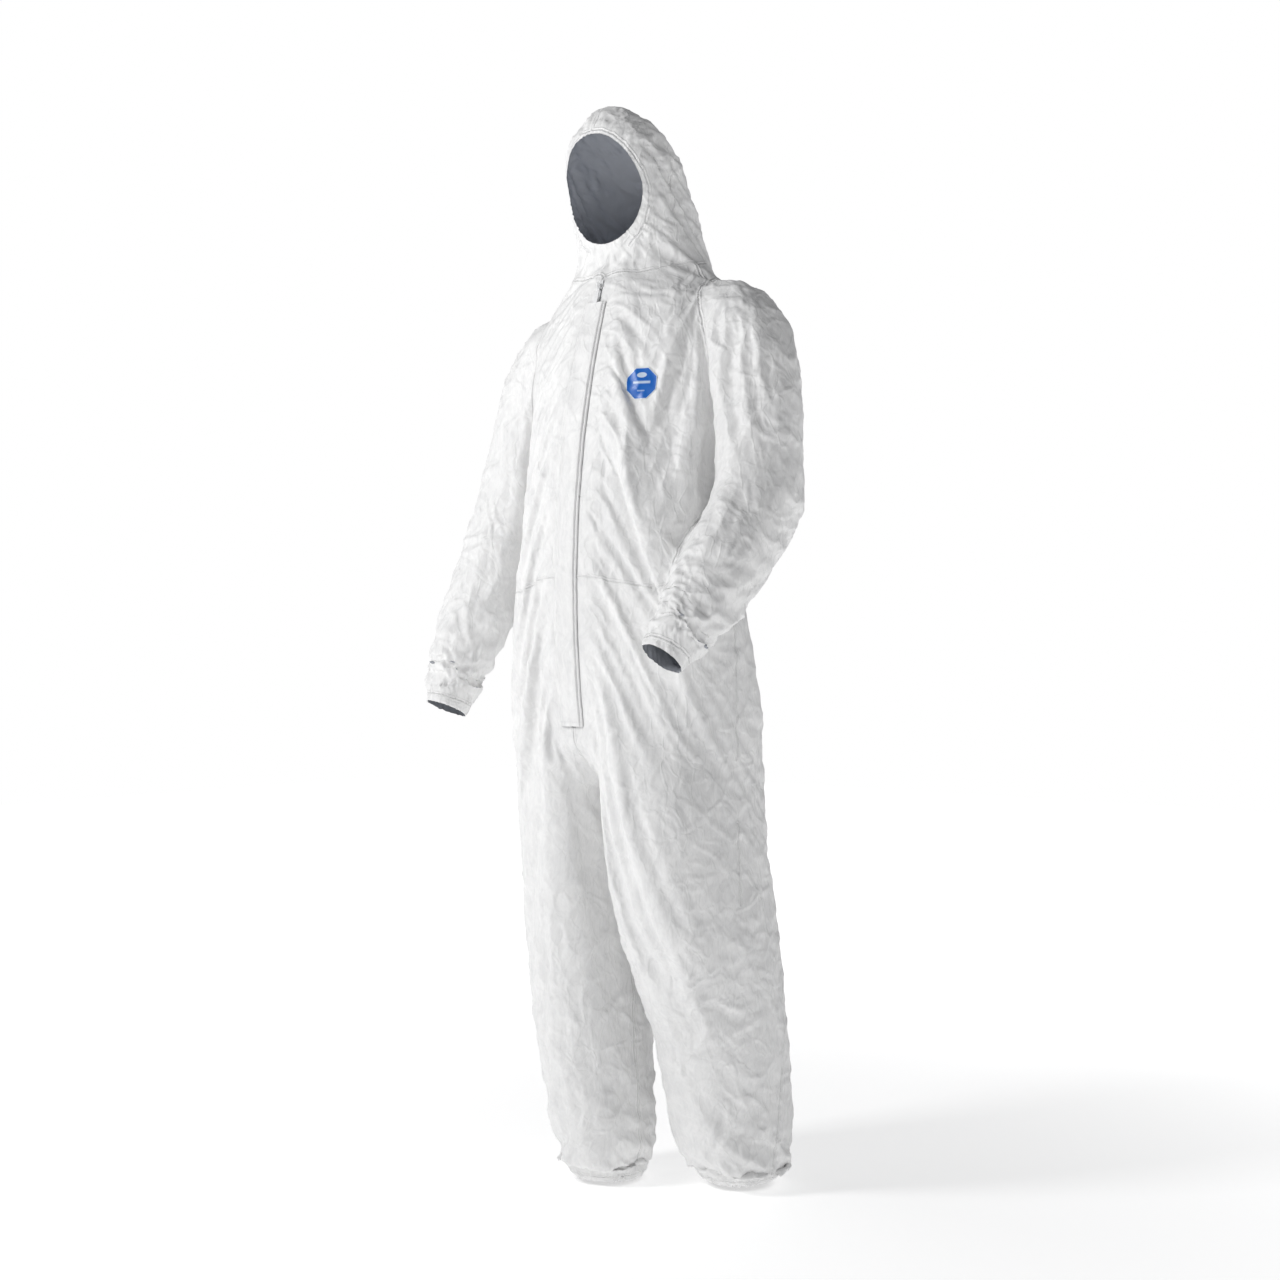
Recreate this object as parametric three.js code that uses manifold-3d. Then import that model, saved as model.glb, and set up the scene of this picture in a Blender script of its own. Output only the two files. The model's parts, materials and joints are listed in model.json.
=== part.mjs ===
// A hooded chemical protective coverall, standing open as if worn: millimetres, +Z up, front towards -Y.
// The fabric is a thin shell cut into its panels. Heights are first counted up from the right ankle hem,
// and the finished suit is then lowered so that its origin is the point between the wearer's shoulders.
import * as THREE from "three";
import { mergeVertices } from "three/addons/utils/BufferGeometryUtils.js";
import Module from "manifold-3d";

const wasm = await Module();
wasm.setup();

// ---- driving dimensions -------------------------------------------------------------------------
const wall = 1.6; // fabric, thicker than real so that it holds as a solid
const gap = 0.3; // clearance between neighbouring panels
const ringStep = 80; // largest spacing of a loft's rings along its length
const stripStep = 50; // length of one straight step of the zip and the flap
const bodySides = 20; // corners of a torso, hood or leg ring
const sleeveSides = 12; // corners of a sleeve ring

const shoulderHeight = 1445; // from the hem to the origin
const hoodHeight = 1724; // from the hem to the top of the hood
const chestHalf = 185; // half widths of the torso
const waistHalf = 196;
const hipHalf = 219;
const waistHeight = 972;
const crotchHeight = 716;
const kneeHeight = 430;
const sideSeamY = -12; // front and back panels meet here

const frontTop = { y: -90, z: 1447 }; // ends and bulge of the centre front line, an arc
const frontBottom = { y: -159, z: 745 };
const frontBulge = 43;

const neckFront = 1450; // height of the neck seam at the throat
const neckTilt = 12; // degrees that the neck seam rises towards the nape
const neckFold = 38; // fabric that bends between torso and hood
const faceWidth = 148;
const faceLength = 174;
const faceHeight = 1575;
const faceBand = 8;
const hoodSeamY = -30; // hood side panels meet its back panel here

const thighHalf = 104;
const ankleRound = 62;
const hipFoldBottom = 622;
const kneeFold = 60; // half length of the fabric that bends at the knee
const elbowFold = 58; // half length of the fabric that bends at the elbow
const upperSleeve = 92; // length that stays straight above the elbow fold
const sleeveRound = 61;
const cuffRound = 36;
const cuffBand = 14;
const ankleBand = 14;
const waistBand = 12;
const gusset = { half: 42, front: 60, back: 70, rise: 4 }; // a patch where the four lower seams meet

const zipHalf = 5.5; // half width of the slot between the front panels
const zipTop = 1440;
const zipBottom = 752;
const slotBelow = 12; // the slot between the front panels ends this far below the zip
const tapeWidth = 14;
const tapeBelow = 8; // of tape below the zip
const tapeThick = 0.8;
const tapeClear = 1.4; // from the back of the front panels to the tapes
const teethWidth = 2.4;
const teethIn = 4.3; // of tape without teeth at each end, where the stops are
const stopLength = 2.7;
const stopHalf = 3.2;
const bottomStopLength = 4;
const stopLift = 0.4; // of a stop above the teeth
const sliderLength = 12;
const pullLength = 30;
const pullHalf = 3.2;
const pullThick = 1.6;
const gripHalf = 4.2;
const gripThick = 2;
const gripLength = 12;
const lugHalf = 1;
const lugLength = 4.4;
const flangeWide = 1.4; // of the slider's sides, over the edges of the tapes
const pinRadius = 0.9;

const flapWidth = 46;
const flapSewn = 20; // distance of the flap's sewn edge from the centre line
const flapTop = 1402;
const flapSplit = 1200; // the flap opens down to here
const flapBottom = 742;
const flapThick = 1;
const flapLift = 0.9;

const badgeRound = 26;
const badgeThick = 0.8;
const badgeX = 112;
const badgeHeight = 1266;
const badgeTurn = 0.45; // radians about +Z, to face out of the chest
const labelWidth = 60;
const labelLength = 45;
const labelY = 90;
const labelHeight = 1400;

// ---- materials ----------------------------------------------------------------------------------
const finish = (name, color, roughness) => {
  const material = new THREE.MeshStandardMaterial({ color, roughness, metalness: 0 });
  material.name = name;
  return material;
};
const fabric = finish("white_nonwoven", 0xeff0f1, 0.62);
const elastic = finish("white_elastic", 0xe2e4e6, 0.8);
const zipTape = finish("zip_tape", 0xe9ebec, 0.75);
const zipPlastic = finish("zip_plastic", 0xf4f5f5, 0.35);
const blueBadge = finish("blue_badge", 0x0f6ecd, 0.4);
const labelCloth = finish("care_label", 0xf2f2f0, 0.7);

// ---- solids -------------------------------------------------------------------------------------
const suit = new THREE.Group();
suit.position.z = -shoulderHeight;

/** A closed geometry as a manifold solid. */
function solid(geometry) {
  const bare = geometry.index ? geometry.toNonIndexed() : geometry.clone();
  bare.deleteAttribute("normal");
  bare.deleteAttribute("uv");
  const merged = mergeVertices(bare, 1e-4);
  const vertProperties = merged.attributes.position.array;
  const triVerts = new Uint32Array(merged.index.array);
  return new wasm.Manifold(new wasm.Mesh({ numProp: 3, vertProperties, triVerts }));
}

/** Adds a manifold solid to the suit as a named mesh. */
function addPiece(name, shape, material) {
  const { vertProperties, triVerts, numProp } = shape.getMesh();
  const geometry = new THREE.BufferGeometry();
  geometry.setAttribute("position", new THREE.BufferAttribute(vertProperties, numProp));
  geometry.setIndex(new THREE.BufferAttribute(triVerts, 1));
  const mesh = new THREE.Mesh(geometry, material);
  mesh.name = name;
  suit.add(mesh);
  return mesh;
}

const big = 3000;

/** The space between two distances from a point along a direction. */
function slab(point, direction, from = -big, to = big) {
  const box = new THREE.BoxGeometry(2 * big, 2 * big, to - from);
  box.translate(0, 0, (from + to) / 2);
  const turn = new THREE.Quaternion().setFromUnitVectors(new THREE.Vector3(0, 0, 1), direction);
  box.applyQuaternion(turn);
  box.translate(point.x, point.y, point.z);
  return solid(box);
}

const origin = new THREE.Vector3();
const along = {
  x: new THREE.Vector3(1, 0, 0),
  y: new THREE.Vector3(0, 1, 0),
  z: new THREE.Vector3(0, 0, 1),
};
const between = (axis, from, to) => slab(origin, along[axis], from, to);

/** A box given by its two corners. */
function block(low, high) {
  const box = new THREE.BoxGeometry(high[0] - low[0], high[1] - low[1], high[2] - low[2]);
  box.translate((low[0] + high[0]) / 2, (low[1] + high[1]) / 2, (low[2] + high[2]) / 2);
  return solid(box);
}

/** A cylinder about an axis along X. */
function rod(centre, radius, xFrom, xTo, sides = 12) {
  const rodShape = new THREE.CylinderGeometry(radius, radius, xTo - xFrom, sides);
  rodShape.rotateZ(Math.PI / 2);
  rodShape.translate((xFrom + xTo) / 2, centre.y, centre.z);
  return solid(rodShape);
}

// ---- the centre front line ----------------------------------------------------------------------
const chord = Math.hypot(frontTop.y - frontBottom.y, frontTop.z - frontBottom.z);
const frontRadius = chord ** 2 / (8 * frontBulge) + frontBulge / 2;
const frontCentre = {
  y: (frontTop.y + frontBottom.y) / 2 + ((frontRadius - frontBulge) * (frontTop.z - frontBottom.z)) / chord,
  z: (frontTop.z + frontBottom.z) / 2 - ((frontRadius - frontBulge) * (frontTop.y - frontBottom.y)) / chord,
};
const frontAngle = (z, out = 0) => Math.asin((z - frontCentre.z) / (frontRadius + out));
const frontPoint = (angle, out = 0) => ({
  y: frontCentre.y - (frontRadius + out) * Math.cos(angle),
  z: frontCentre.z + (frontRadius + out) * Math.sin(angle),
});
const frontY = (z) => frontPoint(frontAngle(z)).y;

/** A strip that follows the centre front line between two heights, from inner to outer distance. */
function frontStrip(xFrom, xTo, zFrom, zTo, inner, outer) {
  const steps = Math.max(1, Math.ceil((zTo - zFrom) / stripStep));
  const angles = [];
  for (let i = 0; i <= steps; i++) {
    angles.push(frontAngle(zFrom) + ((frontAngle(zTo) - frontAngle(zFrom)) * i) / steps);
  }
  const outline = new THREE.Shape();
  const corners = [
    ...angles.map((angle) => frontPoint(angle, outer)),
    ...angles.reverse().map((angle) => frontPoint(angle, inner)),
  ];
  outline.setFromPoints(corners.map(({ y, z }) => new THREE.Vector2(y, z)));
  const strip = new THREE.ExtrudeGeometry(outline, { depth: xTo - xFrom, bevelEnabled: false });
  const swap = new THREE.Matrix4().makeBasis(along.y, along.z, along.x);
  strip.applyMatrix4(swap);
  strip.translate(xFrom, 0, 0);
  return solid(strip);
}

// ---- lofts --------------------------------------------------------------------------------------
/** A smooth value between keys, each [position, value]. */
function smoothValue(keys, at) {
  const last = keys.length - 1;
  let i = 0;
  while (i < last - 1 && at > keys[i + 1][0]) i++;
  const slope = (k) => {
    const a = keys[Math.max(0, k - 1)];
    const b = keys[Math.min(last, k + 1)];
    return (b[1] - a[1]) / (b[0] - a[0]);
  };
  const [start, first] = keys[i];
  const [end, second] = keys[i + 1];
  const span = end - start;
  const t = (at - start) / span;
  return (
    first * (1 + 2 * t) * (1 - t) ** 2 +
    slope(i) * span * t * (1 - t) ** 2 +
    second * t ** 2 * (3 - 2 * t) +
    slope(i + 1) * span * t ** 2 * (t - 1)
  );
}

/** Positions for a loft's rings: every key, and even steps between keys. */
function ringPositions(keys) {
  const places = [keys[0].at];
  for (let i = 1; i < keys.length; i++) {
    const from = keys[i - 1].at;
    const count = Math.max(1, Math.round((keys[i].at - from) / ringStep));
    for (let k = 1; k <= count; k++) places.push(from + ((keys[i].at - from) * k) / count);
  }
  return places;
}

/** A closed loft through rings {centre, across, fore, half, depth, power}, moved out by an offset. */
function loft(rings, sides, offset) {
  const points = [];
  for (const ring of rings) {
    for (let i = 0; i < sides; i++) {
      const turn = ((i + 0.5) * 2 * Math.PI) / sides - Math.PI / 2;
      const flat = Math.abs(Math.sin(Math.PI / 2 - Math.PI / sides)) ** (2 / ring.power);
      const u = Math.sign(Math.cos(turn)) * Math.abs(Math.cos(turn)) ** (2 / ring.power);
      const v = (Math.sign(Math.sin(turn)) * Math.abs(Math.sin(turn)) ** (2 / ring.power)) / flat;
      const corner = ring.centre.clone().addScaledVector(ring.across, ring.half * u);
      points.push(corner.addScaledVector(ring.fore, ring.depth * v));
    }
  }
  const faces = [];
  for (let r = 0; r + 1 < rings.length; r++) {
    for (let i = 0; i < sides; i++) {
      const a = r * sides + i;
      const b = r * sides + ((i + 1) % sides);
      faces.push(a, b, b + sides, a, b + sides, a + sides);
    }
  }
  const low = points.push(rings[0].centre.clone()) - 1;
  const high = points.push(rings.at(-1).centre.clone()) - 1;
  const top = (rings.length - 1) * sides;
  for (let i = 0; i < sides; i++) {
    const next = (i + 1) % sides;
    faces.push(low, next, i, high, top + i, top + next);
  }
  const geometry = new THREE.BufferGeometry().setFromPoints(points);
  geometry.setIndex(faces);
  geometry.computeVertexNormals();
  const position = geometry.attributes.position;
  const normal = geometry.attributes.normal;
  for (let i = 0; i < position.count; i++) {
    position.setXYZ(
      i,
      position.getX(i) + offset * normal.getX(i),
      position.getY(i) + offset * normal.getY(i),
      position.getZ(i) + offset * normal.getZ(i),
    );
  }
  return solid(geometry);
}

/** Level rings from keys {at: height, x, half, front, back, power}. */
function levelRings(keys) {
  const value = (field, at) => smoothValue(keys.map((key) => [key.at, key[field]]), at);
  return ringPositions(keys).map((z) => {
    const front = value("front", z);
    const back = value("back", z);
    return {
      centre: new THREE.Vector3(value("x", z), (front + back) / 2, z),
      across: along.x,
      fore: along.y,
      half: value("half", z),
      depth: (back - front) / 2,
      power: value("power", z),
    };
  });
}

/** Rings square to a smooth path through keys {x, y, z, half}, from the last key up to the first. */
function pathRings(keys) {
  const curve = new THREE.CatmullRomCurve3(keys.map(({ x, y, z }) => new THREE.Vector3(x, y, z)));
  const perKey = 2;
  const count = perKey * (keys.length - 1);
  const halves = keys.map((key, i) => [i / (keys.length - 1), key.half]);
  const rings = [];
  for (let i = count; i >= 0; i--) {
    const t = i / count;
    const up = curve.getTangent(t).negate();
    const across = along.x.clone().addScaledVector(up, -along.x.dot(up)).normalize();
    const fore = up.clone().cross(across);
    const half = smoothValue(halves, t);
    rings.push({ centre: curve.getPoint(t), across, fore, half, depth: half, power: 2 });
  }
  return rings;
}

// ---- outer shapes -------------------------------------------------------------------------------
const torsoKeys = [
  { at: crotchHeight, x: 0, half: hipHalf - 8, front: frontY(crotchHeight), back: 138, power: 2.7 },
  { at: 780, x: 0, half: hipHalf, front: frontY(780), back: 138, power: 2.5 },
  { at: 875, x: 0, half: (hipHalf + waistHalf) / 2, front: frontY(875), back: 122, power: 2.4 },
  { at: waistHeight, x: 0, half: waistHalf, front: frontY(waistHeight), back: 102, power: 2.3 },
  { at: 1080, x: 0, half: chestHalf + 2, front: frontY(1080), back: 106, power: 2.3 },
  { at: 1185, x: 0, half: chestHalf, front: frontY(1185), back: 118, power: 2.3 },
  { at: 1300, x: 0, half: chestHalf + 8, front: frontY(1300), back: 123, power: 2.4 },
  { at: 1370, x: 0, half: chestHalf + 5, front: frontY(1370), back: 118, power: 2.4 },
  { at: 1405, x: 0, half: chestHalf - 13, front: frontY(1405), back: 114, power: 2.3 },
  { at: 1432, x: 0, half: 150, front: frontY(1432), back: 112, power: 2.3 },
  { at: 1452, x: 0, half: 122, front: frontY(1452), back: 113, power: 2.4 },
  { at: 1475, x: 0, half: 112, front: frontY(1475), back: 115, power: 2.5 },
  { at: 1500, x: 0, half: 108, front: frontY(1500), back: 115, power: 2.5 },
];

const hoodKeys = [
  { at: 1418, x: 0, half: 96, front: -84, back: 96, power: 2.4 },
  { at: 1440, x: 0, half: 104, front: frontY(1440) + 4, back: 108, power: 2.5 },
  { at: 1462, x: 0, half: 107, front: frontY(1462), back: 114, power: 2.5 },
  { at: 1486, x: 0, half: 106, front: -78, back: 115, power: 2.5 },
  { at: 1518, x: 0, half: 102, front: -86, back: 103, power: 2.5 },
  { at: 1550, x: 0, half: 101, front: -99, back: 87, power: 2.5 },
  { at: 1582, x: 0, half: 98, front: -110, back: 74, power: 2.5 },
  { at: 1613, x: 0, half: 95, front: -119, back: 55, power: 2.5 },
  { at: 1645, x: 0, half: 91, front: -121, back: 35, power: 2.4 },
  { at: 1672, x: 0, half: 80, front: -117, back: 12, power: 2.3 },
  { at: hoodHeight - 27, x: 0, half: 60, front: -110, back: -12, power: 2.2 },
  { at: hoodHeight - 9, x: 0, half: 36, front: -100, back: -38, power: 2.1 },
  { at: hoodHeight, x: 0, half: 12, front: -84, back: -64, power: 2 },
];

const crotchFront = frontY(crotchHeight) + 6;
const legKeys = {
  left: [
    { at: 2, x: 108, half: ankleRound, front: 60, back: 184, power: 2 },
    { at: 20, x: 108, half: ankleRound + 2, front: 56, back: 186, power: 2 },
    { at: 32, x: 108, half: 80, front: 40, back: 202, power: 2.1 },
    { at: 56, x: 111, half: 94, front: 24, back: 210, power: 2.2 },
    { at: 110, x: 113, half: 92, front: 10, back: 204, power: 2.2 },
    { at: 190, x: 118, half: 94, front: -12, back: 190, power: 2.2 },
    { at: 275, x: 122, half: 98, front: -44, back: 172, power: 2.2 },
    { at: 350, x: 121, half: 104, front: -78, back: 156, power: 2.2 },
    { at: kneeHeight, x: 118, half: 108, front: -116, back: 142, power: 2.3 },
    { at: 530, x: 113, half: thighHalf + 1, front: -150, back: 128, power: 2.4 },
    { at: hipFoldBottom, x: 110, half: thighHalf, front: -168, back: 120, power: 2.5 },
    { at: crotchHeight, x: 107, half: thighHalf - 5, front: crotchFront, back: 130, power: 2.1 },
    { at: crotchHeight + 40, x: 104, half: thighHalf - 24, front: -120, back: 104, power: 2 },
  ],
  right: [
    { at: 0, x: -76, half: ankleRound - 2, front: -52, back: 68, power: 2 },
    { at: 18, x: -76, half: ankleRound, front: -54, back: 70, power: 2 },
    { at: 30, x: -77, half: 72, front: -66, back: 80, power: 2.1 },
    { at: 54, x: -76, half: 83, front: -77, back: 90, power: 2.2 },
    { at: 110, x: -82, half: 84, front: -86, back: 92, power: 2.2 },
    { at: 190, x: -91, half: 90, front: -98, back: 95, power: 2.2 },
    { at: 275, x: -98, half: 95, front: -110, back: 98, power: 2.2 },
    { at: 350, x: -103, half: 97, front: -113, back: 102, power: 2.2 },
    { at: kneeHeight, x: -106, half: 98, front: -118, back: 110, power: 2.3 },
    { at: 530, x: -105, half: thighHalf - 6, front: -128, back: 122, power: 2.4 },
    { at: hipFoldBottom, x: -105, half: thighHalf - 4, front: -134, back: 130, power: 2.5 },
    { at: crotchHeight, x: -107, half: thighHalf - 5, front: crotchFront, back: 130, power: 2.1 },
    { at: crotchHeight + 40, x: -104, half: thighHalf - 24, front: -120, back: 104, power: 2 },
  ],
};

const sleeveKeys = {
  left: [
    { x: 112, y: 14, z: 1388, half: 56 },
    { x: 188, y: 8, z: 1374, half: 72 },
    { x: 243, y: 0, z: 1290, half: 66 },
    { x: 256, y: -8, z: 1200, half: sleeveRound },
    { x: 262, y: -18, z: 1110, half: sleeveRound + 2 },
    { x: 249, y: -75, z: 1030, half: sleeveRound + 3 },
    { x: 234, y: -135, z: 945, half: sleeveRound - 1 },
    { x: 223, y: -180, z: 883, half: 51 },
    { x: 217, y: -196, z: 860, half: cuffRound },
    { x: 211, y: -211, z: 839, half: cuffRound },
  ],
  right: [
    { x: -112, y: 14, z: 1372, half: 56 },
    { x: -184, y: 8, z: 1356, half: 67 },
    { x: -232, y: -4, z: 1270, half: 64 },
    { x: -250, y: -22, z: 1165, half: sleeveRound },
    { x: -264, y: -44, z: 1059, half: sleeveRound + 1 },
    { x: -276, y: -75, z: 965, half: sleeveRound + 1 },
    { x: -287, y: -108, z: 870, half: sleeveRound - 3 },
    { x: -291, y: -132, z: 802, half: 49 },
    { x: -292, y: -141, z: 777, half: cuffRound },
    { x: -293, y: -150, z: 752, half: cuffRound },
  ],
};

const neckNormal = new THREE.Vector3(0, 0, 1).applyAxisAngle(along.x, THREE.MathUtils.degToRad(neckTilt));
const neckPoint = new THREE.Vector3(0, frontY(neckFront), neckFront);
const torsoLoft = (offset) => loft(levelRings(torsoKeys), bodySides, offset);
const hoodLoft = (offset) => loft(levelRings(hoodKeys), bodySides, offset);
const legLoft = (side, offset) => loft(levelRings(legKeys[side]), bodySides, offset);
const sleeveLoft = (side, offset) => loft(pathRings(sleeveKeys[side]), sleeveSides, offset);

const torsoOuter = torsoLoft(0).intersect(slab(neckPoint, neckNormal, -big, 0));
const torsoInner = torsoLoft(-wall).intersect(slab(neckPoint, neckNormal, -big, -wall));
const torsoClear = torsoLoft(gap);
const sides = ["left", "right"];
const inside = [torsoInner, hoodLoft(-wall)];
for (const side of sides) inside.push(legLoft(side, -wall), sleeveLoft(side, -wall));
const hollow = inside.reduce((all, part) => all.add(part));

// ---- torso --------------------------------------------------------------------------------------
const half = gap / 2;
const torsoShell = torsoOuter.subtract(hollow);
const front = between("y", -big, sideSeamY - half);
const back = between("y", sideSeamY + half, big);
const aboveWaist = between("z", waistHeight + waistBand / 2 + half, big);
const belowWaist = between("z", -big, waistHeight - waistBand / 2 - half);
const gussetBlock = (extra) =>
  block(
    [-gusset.half - extra, sideSeamY - gusset.front - extra, 0],
    [gusset.half + extra, sideSeamY + gusset.back + extra, crotchHeight + wall + gusset.rise + extra],
  );
const gussetBox = gussetBlock(0);
const gussetClear = gussetBlock(gap);
const lowerTorso = torsoShell.intersect(belowWaist).subtract(gussetClear);
const sideOf = {
  left: (inner) => between("x", inner, big),
  right: (inner) => between("x", -big, -inner),
};

/** Panels of the torso: two chest, two hip and two seat panels, the upper back and the crotch gusset. */
function buildTorso() {
  const slot = block([-zipHalf, -big, zipBottom - slotBelow], [zipHalf, sideSeamY, big]);
  for (const side of sides) {
    const frontHalf = torsoShell.intersect(front).intersect(sideOf[side](half)).subtract(slot);
    const hip = frontHalf.intersect(between("z", -big, waistHeight - half));
    addPiece(`chest_panel_${side}`, frontHalf.intersect(between("z", waistHeight + half, big)), fabric);
    addPiece(`hip_panel_${side}`, hip.subtract(gussetClear), fabric);
    addPiece(`seat_panel_${side}`, lowerTorso.intersect(back).intersect(sideOf[side](half)), fabric);
  }
  addPiece("upper_back_panel", torsoShell.intersect(back).intersect(aboveWaist), fabric);
  const band = between("z", waistHeight - waistBand / 2 + half, waistHeight + waistBand / 2 - half);
  addPiece("waist_elastic", torsoShell.intersect(back).intersect(band), elastic);
  addPiece("crotch_gusset", torsoShell.intersect(gussetBox), fabric);
}

// ---- hood ---------------------------------------------------------------------------------------
/** An oval cutter through the front of the hood. */
function faceCutter(extra) {
  const oval = new THREE.CylinderGeometry(1, 1, 400, 24);
  oval.scale(faceWidth / 2 + extra, 1, faceLength / 2 + extra);
  oval.translate(0, -230, faceHeight);
  return solid(oval);
}

/** The neck fold, the hood's two side panels and back panel, and the elastic round the face. */
function buildHood() {
  const shell = hoodLoft(0).subtract(hollow).subtract(torsoOuter);
  const aboveFold = slab(neckPoint, neckNormal, neckFold + gap, big);
  addPiece("neck_fold", shell.intersect(slab(neckPoint, neckNormal, gap, neckFold)), fabric);
  const hoodShell = shell.intersect(aboveFold).subtract(faceCutter(0));
  const frontPart = between("y", -big, hoodSeamY - half);
  const panels = hoodShell.subtract(faceCutter(faceBand + gap));
  addPiece("hood_back_panel", panels.intersect(between("y", hoodSeamY + half, big)), fabric);
  for (const side of sides) {
    addPiece(`hood_side_panel_${side}`, panels.intersect(frontPart).intersect(sideOf[side](half)), fabric);
  }
  addPiece("face_elastic", hoodShell.intersect(faceCutter(faceBand)), elastic);
}

// ---- sleeves ------------------------------------------------------------------------------------
const point = ({ x, y, z }) => new THREE.Vector3(x, y, z);
const shoulderKey = 2; // places of the shoulder, the elbow and the cuff in sleeveKeys
const elbowKey = 4;
const cuffKey = 8;

/** Where a sleeve bends: its elbow, and the directions from the shoulder and on to the cuff. */
function sleeveLine(side) {
  const keys = sleeveKeys[side];
  const elbow = point(keys[elbowKey]);
  const cuff = point(keys[cuffKey]);
  const upper = elbow.clone().sub(point(keys[shoulderKey])).normalize();
  const lower = cuff.clone().sub(elbow);
  const reach = lower.length() + cuffBand;
  return { elbow, upper, lower: lower.normalize(), reach };
}

/** One sleeve: the fabric that bends at the shoulder, two tubes with the elbow between, and the cuff. */
function buildSleeve(side) {
  const { elbow, upper, lower, reach } = sleeveLine(side);
  const shell = sleeveLoft(side, 0).subtract(hollow).subtract(torsoClear);
  const top = -elbowFold - upperSleeve;
  addPiece(`shoulder_fold_${side}`, shell.intersect(slab(elbow, upper, -big, top - gap)), fabric);
  addPiece(`upper_sleeve_${side}`, shell.intersect(slab(elbow, upper, top, -elbowFold)), fabric);
  const bend = shell.intersect(slab(elbow, upper, -elbowFold + gap, big));
  addPiece(`elbow_fold_${side}`, bend.intersect(slab(elbow, lower, -big, elbowFold)), fabric);
  const cuffStart = reach - cuffBand;
  const forearm = bend.intersect(slab(elbow, lower, elbowFold + gap, cuffStart));
  addPiece(`lower_sleeve_${side}`, forearm, fabric);
  addPiece(`cuff_elastic_${side}`, bend.intersect(slab(elbow, lower, cuffStart + gap, reach)), elastic);
}

// ---- legs ---------------------------------------------------------------------------------------
const shinKey = 4; // places of the shin and the thigh in legKeys
const thighKey = 9;

/** The y of a leg's side and inside seams at one of its keys. */
const seamY = (side, key) => (legKeys[side][key].front + legKeys[side][key].back) / 2;

/** One leg: the fabric that bends at the hip and the knee, thigh and shin panels, and the ankle elastic. */
function buildLeg(side) {
  const bottom = legKeys[side][0].at;
  const shell = legLoft(side, 0).subtract(hollow).subtract(torsoClear);
  const cut = (from, to) => shell.intersect(between("z", from, to));
  addPiece(`hip_fold_${side}`, cut(hipFoldBottom + gap, crotchHeight), fabric);
  const thigh = cut(kneeHeight + kneeFold + gap, hipFoldBottom);
  const thighSeam = seamY(side, thighKey);
  addPiece(`thigh_front_${side}`, thigh.intersect(between("y", -big, thighSeam - half)), fabric);
  addPiece(`thigh_back_${side}`, thigh.intersect(between("y", thighSeam + half, big)), fabric);
  addPiece(`knee_fold_${side}`, cut(kneeHeight - kneeFold, kneeHeight + kneeFold), fabric);
  const shin = cut(bottom + ankleBand + gap, kneeHeight - kneeFold - gap);
  const shinSeam = seamY(side, shinKey);
  addPiece(`shin_front_${side}`, shin.intersect(between("y", -big, shinSeam - half)), fabric);
  addPiece(`shin_back_${side}`, shin.intersect(between("y", shinSeam + half, big)), fabric);
  const open = between("z", bottom + wall, bottom + ankleBand);
  addPiece(`ankle_elastic_${side}`, shell.intersect(open), elastic);
}

// ---- zip ----------------------------------------------------------------------------------------
const tapeFront = -wall - tapeClear;
const teethFront = 0.3;
const teethBack = tapeFront + gap;
const sliderZ = zipTop - 4 - sliderLength / 2;
const sliderOut = teethFront + gap;
const sliderPlate = 1.2;
const sliderHalf = zipHalf - 0.6;
const cheekRadius = pinRadius + 1.1;
const pinOut = sliderOut + sliderPlate + cheekRadius + gap;

/** Tapes, rows of teeth and stops of the zip: all of it that stays still. */
function buildZip() {
  for (const side of sides) {
    const sign = side === "left" ? 1 : -1;
    const strip = (near, far, ...rest) =>
      sign > 0 ? frontStrip(near, far, ...rest) : frontStrip(-far, -near, ...rest);
    const tape = strip(gap, gap + tapeWidth, zipBottom - tapeBelow, zipTop, tapeFront - tapeThick, tapeFront);
    addPiece(`zip_tape_${side}`, tape, zipTape);
    const teethHigh = zipTop - teethIn;
    const teeth = strip(half, half + teethWidth, zipBottom + teethIn, teethHigh, teethBack, teethFront);
    addPiece(`zip_teeth_${side}`, teeth, zipPlastic);
    const stopLow = zipTop - teethIn + 2 * gap;
    const stop = strip(gap, stopHalf, stopLow, stopLow + stopLength, teethBack, teethFront + stopLift);
    addPiece(`zip_top_stop_${side}`, stop, zipPlastic);
  }
  const bottomTop = zipBottom + bottomStopLength;
  const bottomStop = frontStrip(-stopHalf, stopHalf, zipBottom, bottomTop, teethBack, teethFront + stopLift);
  addPiece("zip_bottom_stop", bottomStop, zipPlastic);
}

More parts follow.
